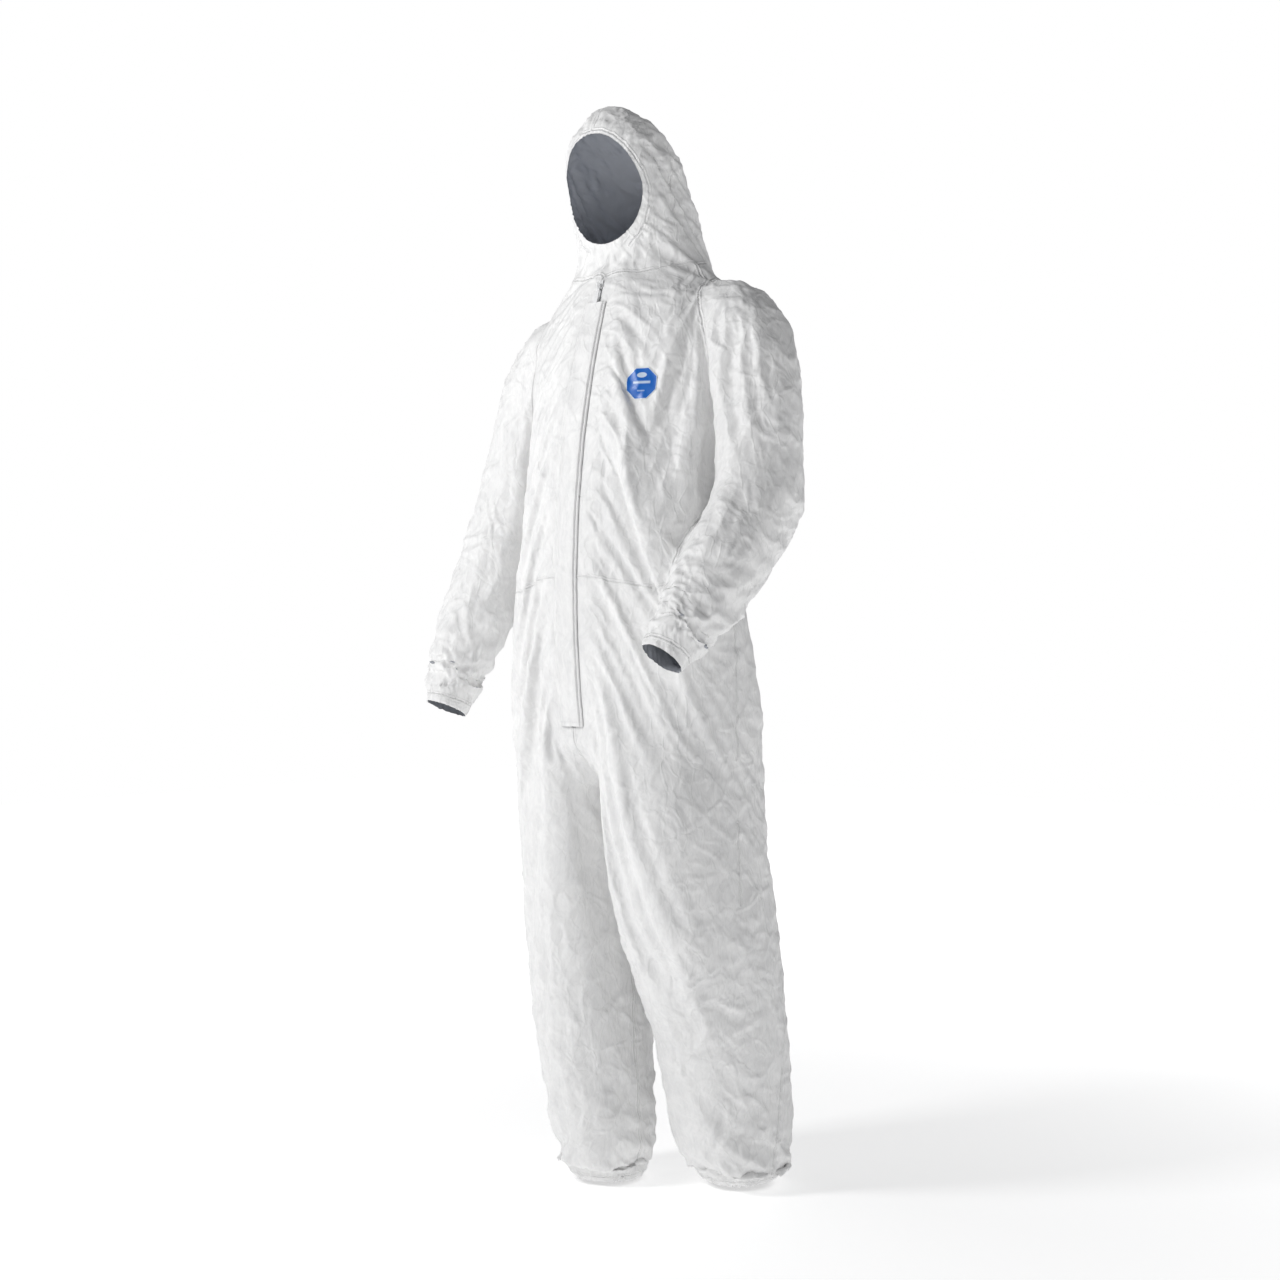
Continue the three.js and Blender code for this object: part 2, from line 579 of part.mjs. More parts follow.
/** The slider that rides over the teeth, with the pin of its pull. */
function buildSlider() {
  const low = sliderZ - sliderLength / 2;
  const high = sliderZ + sliderLength / 2;
  const plateTop = sliderOut + sliderPlate;
  const plate = frontStrip(-sliderHalf, sliderHalf, low, high, sliderOut, plateTop);
  const sunk = plateTop - 0.2; // parts of the slider that overlap its plate begin here
  const flange = (from, to) => frontStrip(from, to, low, high, tapeFront + gap, sunk);
  const pin = frontPoint(frontAngle(sliderZ), pinOut);
  const lugLow = sliderZ - lugLength / 2;
  const lug = frontStrip(-lugHalf, lugHalf, lugLow, lugLow + lugLength, sunk, pinOut + pinRadius + 0.4);
  const pinHalf = pullHalf + 0.2;
  const slider = plate
    .add(flange(-sliderHalf, -sliderHalf + flangeWide))
    .add(flange(sliderHalf - flangeWide, sliderHalf))
    .add(lug)
    .add(rod(pin, pinRadius, -pinHalf, pinHalf));
  addPiece("zip_slider", slider, zipPlastic);

  const cheek = (from, to) => rod(pin, cheekRadius, from, to, 16);
  const leaf = (from, to, bottom, top, thick) =>
    frontStrip(from, to, sliderZ + bottom, sliderZ + top, pinOut - thick / 2, pinOut + thick / 2);
  const bladeTop = -4; // below the pin, clear of the lug
  const blade = leaf(-pullHalf, pullHalf, -pullLength, bladeTop, pullThick);
  const grip = leaf(-gripHalf, gripHalf, -pullLength, -pullLength + gripLength, gripThick);
  const arm = (from, to) => leaf(from, to, bladeTop - 2, 0, pullThick);
  const eye = rod(pin, pinRadius + 0.25, -gripHalf, gripHalf);
  const armIn = lugHalf + 0.4;
  const pull = cheek(-pullHalf, -armIn)
    .add(cheek(armIn, pullHalf))
    .add(arm(-pullHalf, -armIn))
    .add(arm(armIn, pullHalf))
    .add(blade)
    .add(grip)
    .subtract(eye);
  addPiece("zip_pull_tab", pull, zipPlastic);
}

// ---- storm flap, badge and label ----------------------------------------------------------------
/** The flap over the zip, sewn along the wearer's left, in its opening and its fixed length. */
function buildFlap() {
  const low = flapSewn - flapWidth;
  const strip = (from, to) => frontStrip(low, flapSewn, from, to, flapLift, flapLift + flapThick);
  addPiece("storm_flap_upper", strip(flapSplit + half, flapTop), fabric);
  addPiece("storm_flap_lower", strip(flapBottom, flapSplit - half), fabric);
}

/** An octagonal badge that follows the left chest, and a label inside the back of the neck. */
function buildBadge() {
  const octagon = new THREE.CylinderGeometry(badgeRound, badgeRound, 200, 8);
  octagon.rotateY(Math.PI / 8);
  octagon.rotateZ(badgeTurn);
  octagon.translate(badgeX, frontY(badgeHeight), badgeHeight);
  const skin = torsoLoft(gap + badgeThick).subtract(torsoClear);
  addPiece("chest_badge", skin.intersect(solid(octagon)), blueBadge);
  const low = [-labelWidth / 2, labelY, labelHeight];
  const high = [labelWidth / 2, labelY + badgeThick, labelHeight + labelLength];
  addPiece("care_label", block(low, high), labelCloth);
}

buildTorso();
buildHood();
for (const side of sides) {
  buildSleeve(side);
  buildLeg(side);
}
buildZip();
buildSlider();
buildFlap();
buildBadge();

export default suit;
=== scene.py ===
"""A hooded chemical protective coverall, standing open as if worn.

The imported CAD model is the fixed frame. Its panels are traced ring by ring, joined into one skin,
creased by a cloth simulation over an inner form, and cut along the seams into the garment's panels.
Sizes are in metres; +Z is up, -Y is out of the front and +X is the wearer's left.
"""

import itertools
import json
import logging
import math
from dataclasses import dataclass, field
from enum import Enum

import bmesh
import bpy
import numpy as np
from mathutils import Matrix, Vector
from mathutils.bvhtree import BVHTree
from mathutils.kdtree import KDTree


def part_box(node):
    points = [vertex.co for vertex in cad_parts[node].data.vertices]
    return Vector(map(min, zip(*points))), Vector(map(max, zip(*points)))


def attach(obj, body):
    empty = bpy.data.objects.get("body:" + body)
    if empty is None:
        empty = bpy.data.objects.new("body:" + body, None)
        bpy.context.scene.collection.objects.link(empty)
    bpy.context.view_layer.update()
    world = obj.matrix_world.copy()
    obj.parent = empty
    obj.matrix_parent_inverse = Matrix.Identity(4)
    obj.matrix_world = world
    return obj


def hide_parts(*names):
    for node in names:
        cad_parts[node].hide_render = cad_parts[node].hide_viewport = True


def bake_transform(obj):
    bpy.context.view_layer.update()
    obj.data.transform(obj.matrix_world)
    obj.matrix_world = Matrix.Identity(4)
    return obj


log = logging.getLogger("coverall")
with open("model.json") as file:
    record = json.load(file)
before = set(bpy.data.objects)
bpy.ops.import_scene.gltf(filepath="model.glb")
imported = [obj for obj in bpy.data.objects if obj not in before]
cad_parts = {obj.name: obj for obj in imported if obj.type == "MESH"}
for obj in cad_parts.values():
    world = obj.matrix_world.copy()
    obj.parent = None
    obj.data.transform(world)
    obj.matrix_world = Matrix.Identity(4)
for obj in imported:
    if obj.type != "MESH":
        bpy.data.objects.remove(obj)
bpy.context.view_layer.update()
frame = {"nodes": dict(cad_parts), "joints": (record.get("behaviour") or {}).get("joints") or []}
JOINTS = {joint["name"]: joint for joint in frame["joints"]}
SIDES = ("left", "right")


def joint_place(name: str) -> Vector:
    """The pivot of a joint in the frame."""
    return Vector(JOINTS[name]["pos_m"])


def box_centre(*nodes: str) -> Vector:
    """The centre of the box round some CAD nodes."""
    corners = [np.array(corner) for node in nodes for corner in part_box(node)]
    return Vector((np.min(corners, axis=0) + np.max(corners, axis=0)) / 2)


def lowest(node: str) -> Vector:
    """The lowest corner of a CAD node."""
    return Vector(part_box(node)[0])


def highest(node: str) -> Vector:
    """The highest corner of a CAD node."""
    return Vector(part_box(node)[1])


def search_tree(meshes: list[bpy.types.Mesh]) -> BVHTree:
    """One search tree of all the faces of some meshes.

    Args:
        meshes: The meshes, in the frame's coordinates.

    Returns:
        The tree.
    """
    points: list[Vector] = []
    faces: list[tuple[int, ...]] = []
    for mesh in meshes:
        base = len(points)
        points += [vertex.co.copy() for vertex in mesh.vertices]
        faces += [tuple(base + i for i in face.vertices) for face in mesh.polygons]
    return BVHTree.FromPolygons(points, faces)


def fabric_tree(names: tuple[str, ...]) -> BVHTree:
    """A search tree of some finished pieces."""
    return search_tree([bpy.data.objects[name].data for name in names])


# ---- tracing the frame --------------------------------------------------------------------------
@dataclass
class Tracer:
    """Measures the outside of some CAD nodes along rays towards an axis."""

    nodes: tuple[str, ...]
    reach: float = 0.4
    sides: int = 72
    tree: BVHTree = field(init=False)

    def __post_init__(self) -> None:
        """Builds one search tree from the nodes' triangles."""
        self.tree = search_tree([frame["nodes"][name].data for name in self.nodes])

    def ring(self, centre: Vector, across: Vector, fore: Vector) -> list[float | None]:
        """Distances from a centre to the outside, all round it.

        Args:
            centre: A point inside the nodes.
            across: The direction at angle zero.
            fore: The direction a quarter turn on.

        Returns:
            One distance for each side, None where a ray meets nothing.
        """
        found: list[float | None] = []
        for i in range(self.sides):
            angle = 2 * math.pi * (i + 0.5) / self.sides
            out = across * math.cos(angle) + fore * math.sin(angle)
            hit = self.tree.ray_cast(centre + out * self.reach, -out, self.reach)
            found.append((hit[0] - centre).dot(out) if hit[0] else None)
        return found


def fill_gaps(found: list[float | None], spare: list[float] | None) -> list[float]:
    """Fills a ring's missing distances from its neighbours, or from a spare ring when it has none.

    Args:
        found: The ring's distances.
        spare: A full ring, used when nothing was found.

    Returns:
        A full ring.
    """
    count = len(found)
    known = [i for i, value in enumerate(found) if value is not None]
    if not known:
        return list(spare)
    angles = np.array([known[-1] - count] + known + [known[0] + count], float)
    values = np.array([found[known[-1]]] + [found[i] for i in known] + [found[known[0]]], float)
    return list(np.interp(np.arange(count), angles, values))


@dataclass
class TracedTube:
    """A closed tube whose rings follow the outside of some CAD nodes."""

    nodes: tuple[str, ...]
    path: list[Vector]
    level: bool
    step: float = 0.012
    reach: float = 0.4
    dome: float = 0.0

    def sampled(self) -> list[Vector]:
        """Samples a smooth curve through the path.

        Returns:
            Points about one step apart.
        """
        points = [self.path[0] * 2 - self.path[1]] + self.path + [self.path[-1] * 2 - self.path[-2]]
        made: list[Vector] = []
        for a, b, c, d in zip(points, points[1:], points[2:], points[3:]):
            count = max(1, round((c - b).length / self.step))
            for k in range(count):
                t = k / count
                made.append(
                    0.5
                    * (
                        2 * b
                        + (c - a) * t
                        + (2 * a - 5 * b + 4 * c - d) * t**2
                        + (3 * b - a - 3 * c + d) * t**3
                    )
                )
        return made + [self.path[-1].copy()]

    def build(self) -> tuple[list[Vector], list[tuple[int, ...]]]:
        """Traces the rings and closes both ends.

        Returns:
            The tube's points and faces.
        """
        tracer = Tracer(self.nodes, self.reach)
        centres = self.sampled()
        rings: list[tuple[Vector, Vector, Vector, list[float | None]]] = []
        for i, centre in enumerate(centres):
            along = centres[min(i + 1, len(centres) - 1)] - centres[max(i - 1, 0)]
            up = Vector((0, 0, 1)) if self.level else -along.normalized()
            across = Vector((1, 0, 0))
            across = (across - up * across.dot(up)).normalized()
            fore = up.cross(across)
            rings.append((centre, across, fore, tracer.ring(centre, across, fore)))
        known = [i for i, ring in enumerate(rings) if any(value is not None for value in ring[3])]
        points: list[Vector] = []
        faces: list[tuple[int, ...]] = []
        base = self.path[0].z + self.dome
        for i, (centre, across, fore, found) in enumerate(rings):
            nearest = min(known, key=lambda k: abs(k - i))
            if self.dome and centre.z < base:
                nearest = next(k for k in known if rings[k][0].z >= base)
                found = [None] * tracer.sides
            spare = fill_gaps(rings[nearest][3], None)
            depth = min(0.97, (base - centre.z) / self.dome) if self.dome and centre.z < base else 0.0
            shrunk = math.sqrt(1 - depth**2)
            for k, distance in enumerate(fill_gaps(found, spare)):
                distance *= shrunk
                angle = 2 * math.pi * (k + 0.5) / tracer.sides
                points.append(centre + (across * math.cos(angle) + fore * math.sin(angle)) * distance)
        sides = tracer.sides
        for r in range(len(rings) - 1):
            for k in range(sides):
                n = (k + 1) % sides
                faces.append((r * sides + k, r * sides + n, (r + 1) * sides + n, (r + 1) * sides + k))
        faces.append(tuple(range(sides)))
        faces.append(tuple(range((len(rings) - 1) * sides, len(rings) * sides)))
        return points, faces


def new_object(name: str, points: list, faces: list) -> bpy.types.Object:
    """A mesh object at the origin, linked to the scene.

    Args:
        name: Its name.
        points: Its vertices.
        faces: Its faces, as tuples of point numbers.

    Returns:
        The object.
    """
    mesh = bpy.data.meshes.new(name)
    mesh.from_pydata([tuple(p) for p in points], [], faces)
    mesh.update()
    made = bpy.data.objects.new(name, mesh)
    bpy.context.scene.collection.objects.link(made)
    return made


def evaluated_mesh(obj: bpy.types.Object) -> bpy.types.Mesh:
    """A plain copy of an object's mesh with its modifiers applied."""
    graph = bpy.context.evaluated_depsgraph_get()
    return bpy.data.meshes.new_from_object(obj.evaluated_get(graph), depsgraph=graph)


def settle(obj: bpy.types.Object) -> None:
    """Replaces an object's mesh with its modified one and removes the modifiers.

    Args:
        obj: The object, which keeps its name and place.
    """
    made = evaluated_mesh(obj)
    obj.modifiers.clear()
    old = obj.data
    obj.data = made
    bpy.data.meshes.remove(old)


# ---- the garment's skin -------------------------------------------------------------------------
@dataclass
class SuitSkin:
    """The whole garment as one open, creased sheet."""

    voxel: float = 0.007
    smoothing: int = 6
    spine: float = 0.018
    crotch_dome: float = 0.055
    past_cuff: float = 0.014
    sleeve_reach: float = 0.13

    def torso_tube(self) -> TracedTube:
        """Torso and hood, traced on level rings from the crotch to the top of the hood.

        Returns:
            A tube that ends in a dome under the crotch.
        """
        torso = [f"{part}_panel_{side}" for part in ("chest", "hip", "seat") for side in SIDES]
        torso += ["upper_back_panel", "waist_elastic", "crotch_gusset", "neck_fold"]
        hood = ["hood_back_panel", "hood_side_panel_left", "hood_side_panel_right", "face_elastic"]
        crotch = lowest("hip_panel_left").z
        neck = box_centre("neck_fold")
        face = box_centre("face_elastic")
        top = highest("hood_side_panel_left").z
        spine, dome = self.spine, self.crotch_dome
        path = [
            Vector((0, -spine, crotch + 0.004 - dome)),
            Vector((0, -spine, crotch + 0.03)),
            Vector((0, -spine, (crotch + neck.z) / 2)),
            Vector((0, -spine, neck.z - 0.06)),
            Vector((0, neck.y - 0.005, neck.z)),
            Vector((0, face.y + 0.085, face.z)),
            Vector((0, face.y + 0.035, top - 0.028)),
            Vector((0, face.y + 0.025, top - 0.001)),
        ]
        return TracedTube(tuple(torso + hood), path, level=True, dome=dome)

    def sleeve_tube(self, side: str) -> TracedTube:
        """One sleeve, from inside the shoulder to past the cuff.

        Args:
            side: The wearer's left or right.

        Returns:
            A tube whose rings turn with the arm.
        """
        nodes = tuple(
            f"{part}_{side}"
            for part in ("shoulder_fold", "upper_sleeve", "elbow_fold", "lower_sleeve", "cuff_elastic")
        )
        shoulder = joint_place(f"shoulder_{side}")
        inner = Vector((shoulder.x * 0.55, shoulder.y, shoulder.z + 0.012))
        forearm, cuff = box_centre(f"lower_sleeve_{side}"), box_centre(f"cuff_elastic_{side}")
        path = [
            inner,
            shoulder,
            box_centre(f"upper_sleeve_{side}"),
            joint_place(f"elbow_{side}"),
            forearm,
            cuff,
            cuff + (cuff - forearm).normalized() * self.past_cuff,
        ]
        return TracedTube(nodes, path, level=False, reach=self.sleeve_reach)

    def leg_tube(self, side: str) -> TracedTube:
        """One trouser leg, from inside the hip down to the hem.

        Args:
            side: The wearer's left or right.

        Returns:
            A tube on level rings.
        """
        parts = ("hip_fold", "thigh_front", "thigh_back", "knee_fold", "shin_front", "shin_back")
        nodes = tuple(f"{part}_{side}" for part in (*parts, "ankle_elastic"))
        hip = box_centre(f"hip_fold_{side}")
        ankle = box_centre(f"ankle_elastic_{side}")
        path = [
            Vector((hip.x * 0.97, hip.y, highest(f"hip_fold_{side}").z + 0.03)),
            hip,
            box_centre(f"thigh_front_{side}", f"thigh_back_{side}"),
            box_centre(f"knee_fold_{side}"),
            Vector((ankle.x, ankle.y, ankle.z + 0.05)),
            Vector((ankle.x, ankle.y, lowest(f"ankle_elastic_{side}").z + 0.001)),
        ]
        return TracedTube(nodes, path, level=True)

    def solid_form(self) -> bpy.types.Object:
        """The tubes joined into one smooth closed form.

        Returns:
            The form, before it is creased.
        """
        tubes = [self.torso_tube()]
        tubes += [self.sleeve_tube(side) for side in SIDES]
        tubes += [self.leg_tube(side) for side in SIDES]
        points: list[Vector] = []
        faces: list[tuple[int, ...]] = []
        for tube in tubes:
            tube_points, tube_faces = tube.build()
            base = len(points)
            points += tube_points
            faces += [tuple(base + i for i in face) for face in tube_faces]
        form = new_object("form", points, faces)
        work = bmesh.new()
        work.from_mesh(form.data)
        bmesh.ops.recalc_face_normals(work, faces=work.faces)
        work.to_mesh(form.data)
        work.free()
        remesh = form.modifiers.new("join", "REMESH")
        remesh.mode = "VOXEL"
        remesh.voxel_size = self.voxel
        smooth = form.modifiers.new("smooth", "SMOOTH")
        smooth.factor = 0.6
        smooth.iterations = self.smoothing
        settle(form)
        return form


# ---- creasing ----------------------------------------------------------------------------------
@dataclass(frozen=True)
class Cloth:
    """How loosely the fabric hangs over the inner form."""

    inset: float = 0.013
    slack: float = 0.065
    limb_slack: float = 0.10
    stiffness: float = 22.0
    bending: float = 0.6
    mass: float = 0.2
    gravity: float = 0.35
    pressure: float = 0.25
    quality: int = 5
    damping: float = 12.0
    air_damping: float = 1.5
    pin_stiffness: float = 4.0
    friction: float = 12.0
    apart: float = 0.002
    stir: float = 0.0015
    stir_size: float = 0.05
    frames: int = 24
    limit: float = 0.024


def unit_noise(points: np.ndarray, seed: int, waves: int = 24) -> np.ndarray:
    """Smooth noise from a sum of plane waves, about -1 to 1, with a wavelength of one unit.

    Args:
        points: Places, already divided by the wavelength.
        seed: Makes the result repeatable.
        waves: How many waves are summed.

    Returns:
        One value for each point.
    """
    rng = np.random.default_rng(seed)
    heading = rng.normal(size=(waves, 3))
    heading /= np.linalg.norm(heading, axis=1, keepdims=True)
    heading *= 2 * math.pi * rng.uniform(0.6, 1.5, (waves, 1))
    phase = rng.uniform(0, 2 * math.pi, waves)
    total = np.zeros(len(points))
    for turn, start in zip(heading, phase):
        total += np.sin(points @ turn + start)
    return total / math.sqrt(waves / 2) / 1.6


def mesh_points(mesh: bpy.types.Mesh) -> np.ndarray:
    """The vertices of a mesh as an array."""
    found = np.empty(len(mesh.vertices) * 3)
    mesh.vertices.foreach_get("co", found)
    return found.reshape(-1, 3)


def mesh_normals(mesh: bpy.types.Mesh) -> np.ndarray:
    """The vertex normals of a mesh as an array."""
    found = np.empty(len(mesh.vertices) * 3)
    mesh.vertex_normals.foreach_get("vector", found)
    return found.reshape(-1, 3)


def rest_places(mesh: bpy.types.Mesh) -> np.ndarray:
    """Where each vertex was before the fabric was creased."""
    found = np.empty(len(mesh.vertices) * 3)
    mesh.attributes["rest"].data.foreach_get("vector", found)
    return found.reshape(-1, 3)


def keep_rest(mesh: bpy.types.Mesh, rest: np.ndarray) -> None:
    """Stores where each vertex was before the fabric was creased."""
    stored = mesh.attributes.new("rest", "FLOAT_VECTOR", "POINT")
    stored.data.foreach_set("vector", rest.ravel())


def surface_normals(points: np.ndarray, triangles: np.ndarray) -> np.ndarray:
    """Unit normals of a triangle surface at its points.

    Args:
        points: The surface's points.
        triangles: Its faces, as point numbers.

    Returns:
        One normal for each point.
    """
    a, b, c = (points[triangles[:, k]] for k in range(3))
    flat = np.cross(b - a, c - a)
    total = np.zeros_like(points)
    for k in range(3):
        np.add.at(total, triangles[:, k], flat)
    return total / np.maximum(np.linalg.norm(total, axis=1, keepdims=True), 1e-12)


def halved(quads: list[tuple[int, ...]]) -> np.ndarray:
    """The two triangles of each four-sided face."""
    return np.array([t for a, b, c, d in quads for t in ((a, b, c), (a, c, d))])


def edge_line(name: str, places: list[tuple[float, ...]]) -> bpy.types.Object:
    """A mesh of edges through some places.

    Args:
        name: Its name.
        places: The places in order.

    Returns:
        The line, in the scene.
    """
    mesh = bpy.data.meshes.new(name)
    mesh.from_pydata(places, [(i, i + 1) for i in range(len(places) - 1)], [])
    line = bpy.data.objects.new(name, mesh)
    bpy.context.scene.collection.objects.link(line)
    return line


def give_group(obj: bpy.types.Object, name: str, weights: np.ndarray) -> None:
    """Stores weights from 0 to 1 as a vertex group, in steps of a twentieth.

    Args:
        obj: The object.
        name: The group's name.
        weights: One weight for each vertex.
    """
    group = obj.vertex_groups.new(name=name)
    steps = np.rint(np.clip(weights, 0, 1) * 20).astype(int)
    for step in range(21):
        group.add(np.nonzero(steps == step)[0].tolist(), step / 20, "REPLACE")


def ramp(values: np.ndarray, low: float, high: float) -> np.ndarray:
    """A smooth step from 0 at low to 1 at high."""
    t = np.clip((values - low) / (high - low), 0, 1)
    return t * t * (3 - 2 * t)


@dataclass
class Creaser:
    """Lets the fabric hang over an inner form until it has its folds."""

    cloth: Cloth = Cloth()

    def held(self, rest: np.ndarray) -> np.ndarray:
        """How firmly each point is held: at the face, the cuffs, the ankles and the front closure.

        Args:
            rest: Places on the form before it was creased.

        Returns:
            One value from 0, free, to 1, held, for each place.
        """
        face = box_centre("face_elastic")
        size = (highest("face_elastic") - lowest("face_elastic")) / 2
        oval = np.hypot((rest[:, 0] - face.x) / size.x, (rest[:, 2] - face.z) / size.z)
        hold = (1 - ramp(oval, 1.0, 1.25)) * (rest[:, 1] < face.y + 0.03)
        for side in SIDES:
            for node, margin in ((f"cuff_elastic_{side}", 0.018), (f"ankle_elastic_{side}", 0.022)):
                low, high = lowest(node), highest(node)
                out = np.maximum(np.array(low) - rest, rest - np.array(high)).max(axis=1)
                hold = np.maximum(hold, 1 - ramp(out, 0.0, margin))
        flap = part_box("storm_flap_upper")
        reach = max(abs(flap[0].x), abs(flap[1].x))
        middle = (1 - ramp(np.abs(rest[:, 0]), reach, reach * 2.4)) * (rest[:, 1] < -0.03)
        low, high = lowest("storm_flap_lower").z, highest("storm_flap_upper").z
        along = (rest[:, 2] < high + 0.04) * ramp(rest[:, 2], low - 0.06, low - 0.01)
        return np.maximum(hold, middle * along)

    def looseness(self, rest: np.ndarray) -> np.ndarray:
        """More slack in the sleeves and the lower legs, from 0 to 1.

        Args:
            rest: Places on the form before it was creased.

        Returns:
            One value for each place.
        """
        knees = joint_place("knee_left").z
        legs = 1 - ramp(rest[:, 2], knees - 0.05, knees + 0.18)
        sleeve = box_centre("upper_sleeve_left").x
        arms = ramp(np.abs(rest[:, 0]), sleeve - 0.075, sleeve - 0.02)
        return np.clip(np.maximum(legs, arms), 0, 1)

    def inner_form(self, form: bpy.types.Object) -> bpy.types.Object:
        """A smaller copy of the form, which the fabric can't pass through.

        Args:
            form: The form.

        Returns:
            The obstacle.
        """
        points = mesh_points(form.data) - mesh_normals(form.data) * self.cloth.inset
        inner = bpy.data.objects.new("inner form", form.data.copy())
        inner.data.vertices.foreach_set("co", points.ravel())
        bpy.context.scene.collection.objects.link(inner)
        inner.modifiers.new("stop", "COLLISION")
        inner.collision.thickness_outer = self.cloth.apart
        inner.collision.cloth_friction = self.cloth.friction
        return inner

    def crease(self, form: bpy.types.Object) -> None:
        """Runs the simulation and writes its last frame into the form's mesh.

        Args:
            form: The form, whose first shape is kept in its "rest" attribute.
        """
        rest = mesh_points(form.data)
        cloth = self.cloth
        give_group(form, "held", self.held(rest))
        give_group(form, "loose", self.looseness(rest))
        inner = self.inner_form(form)
        stir = unit_noise(rest / cloth.stir_size, 3) * cloth.stir
        start = rest + mesh_normals(form.data) * stir[:, None] * (1 - self.held(rest))[:, None]
        form.data.vertices.foreach_set("co", start.ravel())
        hang = form.modifiers.new("hang", "CLOTH")
        settings = hang.settings
        settings.quality = cloth.quality
        settings.mass = cloth.mass
        settings.tension_stiffness = cloth.stiffness
        settings.compression_stiffness = cloth.stiffness
        settings.shear_stiffness = cloth.stiffness / 3
        settings.bending_stiffness = cloth.bending
        settings.tension_damping = cloth.damping
        settings.compression_damping = cloth.damping
        settings.air_damping = cloth.air_damping
        settings.shrink_min = -cloth.slack
        settings.shrink_max = -cloth.limb_slack
        settings.vertex_group_shrink = "loose"
        settings.vertex_group_mass = "held"
        settings.pin_stiffness = cloth.pin_stiffness
        settings.use_pressure = True
        settings.uniform_pressure_force = cloth.pressure
        settings.effector_weights.gravity = cloth.gravity
        hang.collision_settings.distance_min = cloth.apart
        hang.collision_settings.collision_quality = 2
        hang.point_cache.frame_start = 1
        hang.point_cache.frame_end = cloth.frames
        scene = bpy.context.scene
        for number in range(1, cloth.frames + 1):
            scene.frame_set(number)
        hung = evaluated_mesh(form)
        points = mesh_points(hung)
        moved = points - rest
        length = np.linalg.norm(moved, axis=1, keepdims=True)
        points = rest + moved * np.minimum(1, cloth.limit / np.maximum(length, 1e-9))
        form.modifiers.clear()
        scene.frame_set(1)
        bpy.data.objects.remove(inner)
        bpy.data.meshes.remove(hung)
        form.data.vertices.foreach_set("co", points.ravel())
        form.vertex_groups.clear()
        keep_rest(form.data, rest)
        form.data.update()
        log.info("creased: moved up to %.1f mm, mean %.1f", length.max() * 1000, length.mean() * 1000)


# ---- shader maths -------------------------------------------------------------------------------
class Value:
    """A shader value that can be written in Python arithmetic."""

    def __init__(self, shader: "Shader", socket: bpy.types.NodeSocket | float) -> None:
        """Wraps a socket of a shader's node tree."""
        self.shader = shader
        self.socket = socket

    def math(self, operation: str, *others: "Value | float") -> "Value":
        """Adds a Math node on this value and others."""
        inputs = {i: item for i, item in enumerate((self, *others))}
        return self.shader.node("ShaderNodeMath", {"operation": operation}, inputs)

    def __add__(self, other: "Value | float") -> "Value":
        """Sum."""
        return self.math("ADD", other)

    __radd__ = __add__

    def __sub__(self, other: "Value | float") -> "Value":
        """Difference."""
        return self.math("SUBTRACT", other)

    def __rsub__(self, other: float) -> "Value":
        """Difference, reflected."""
        return Value(self.shader, other).math("SUBTRACT", self)

    def __mul__(self, other: "Value | float") -> "Value":
        """Product."""
        return self.math("MULTIPLY", other)

    __rmul__ = __mul__

    def __truediv__(self, other: "Value | float") -> "Value":
        """Quotient."""
        return self.math("DIVIDE", other)

    def __abs__(self) -> "Value":
        """Size without sign."""
        return self.math("ABSOLUTE")

    def at_least(self, other: "Value | float") -> "Value":
        """The larger of two values."""
        return self.math("MAXIMUM", other)

    def step(self, low: float, high: float) -> "Value":
        """A smooth step from 0 at low to 1 at high."""
        settings = {"interpolation_type": "SMOOTHSTEP"}
        inputs = {"Value": self, "From Min": low, "From Max": high}
        return self.shader.node("ShaderNodeMapRange", settings, inputs)

    def line(self, width: float) -> "Value":
        """One at zero, falling to nothing at a width."""
        return 1 - abs(self).step(0, width)


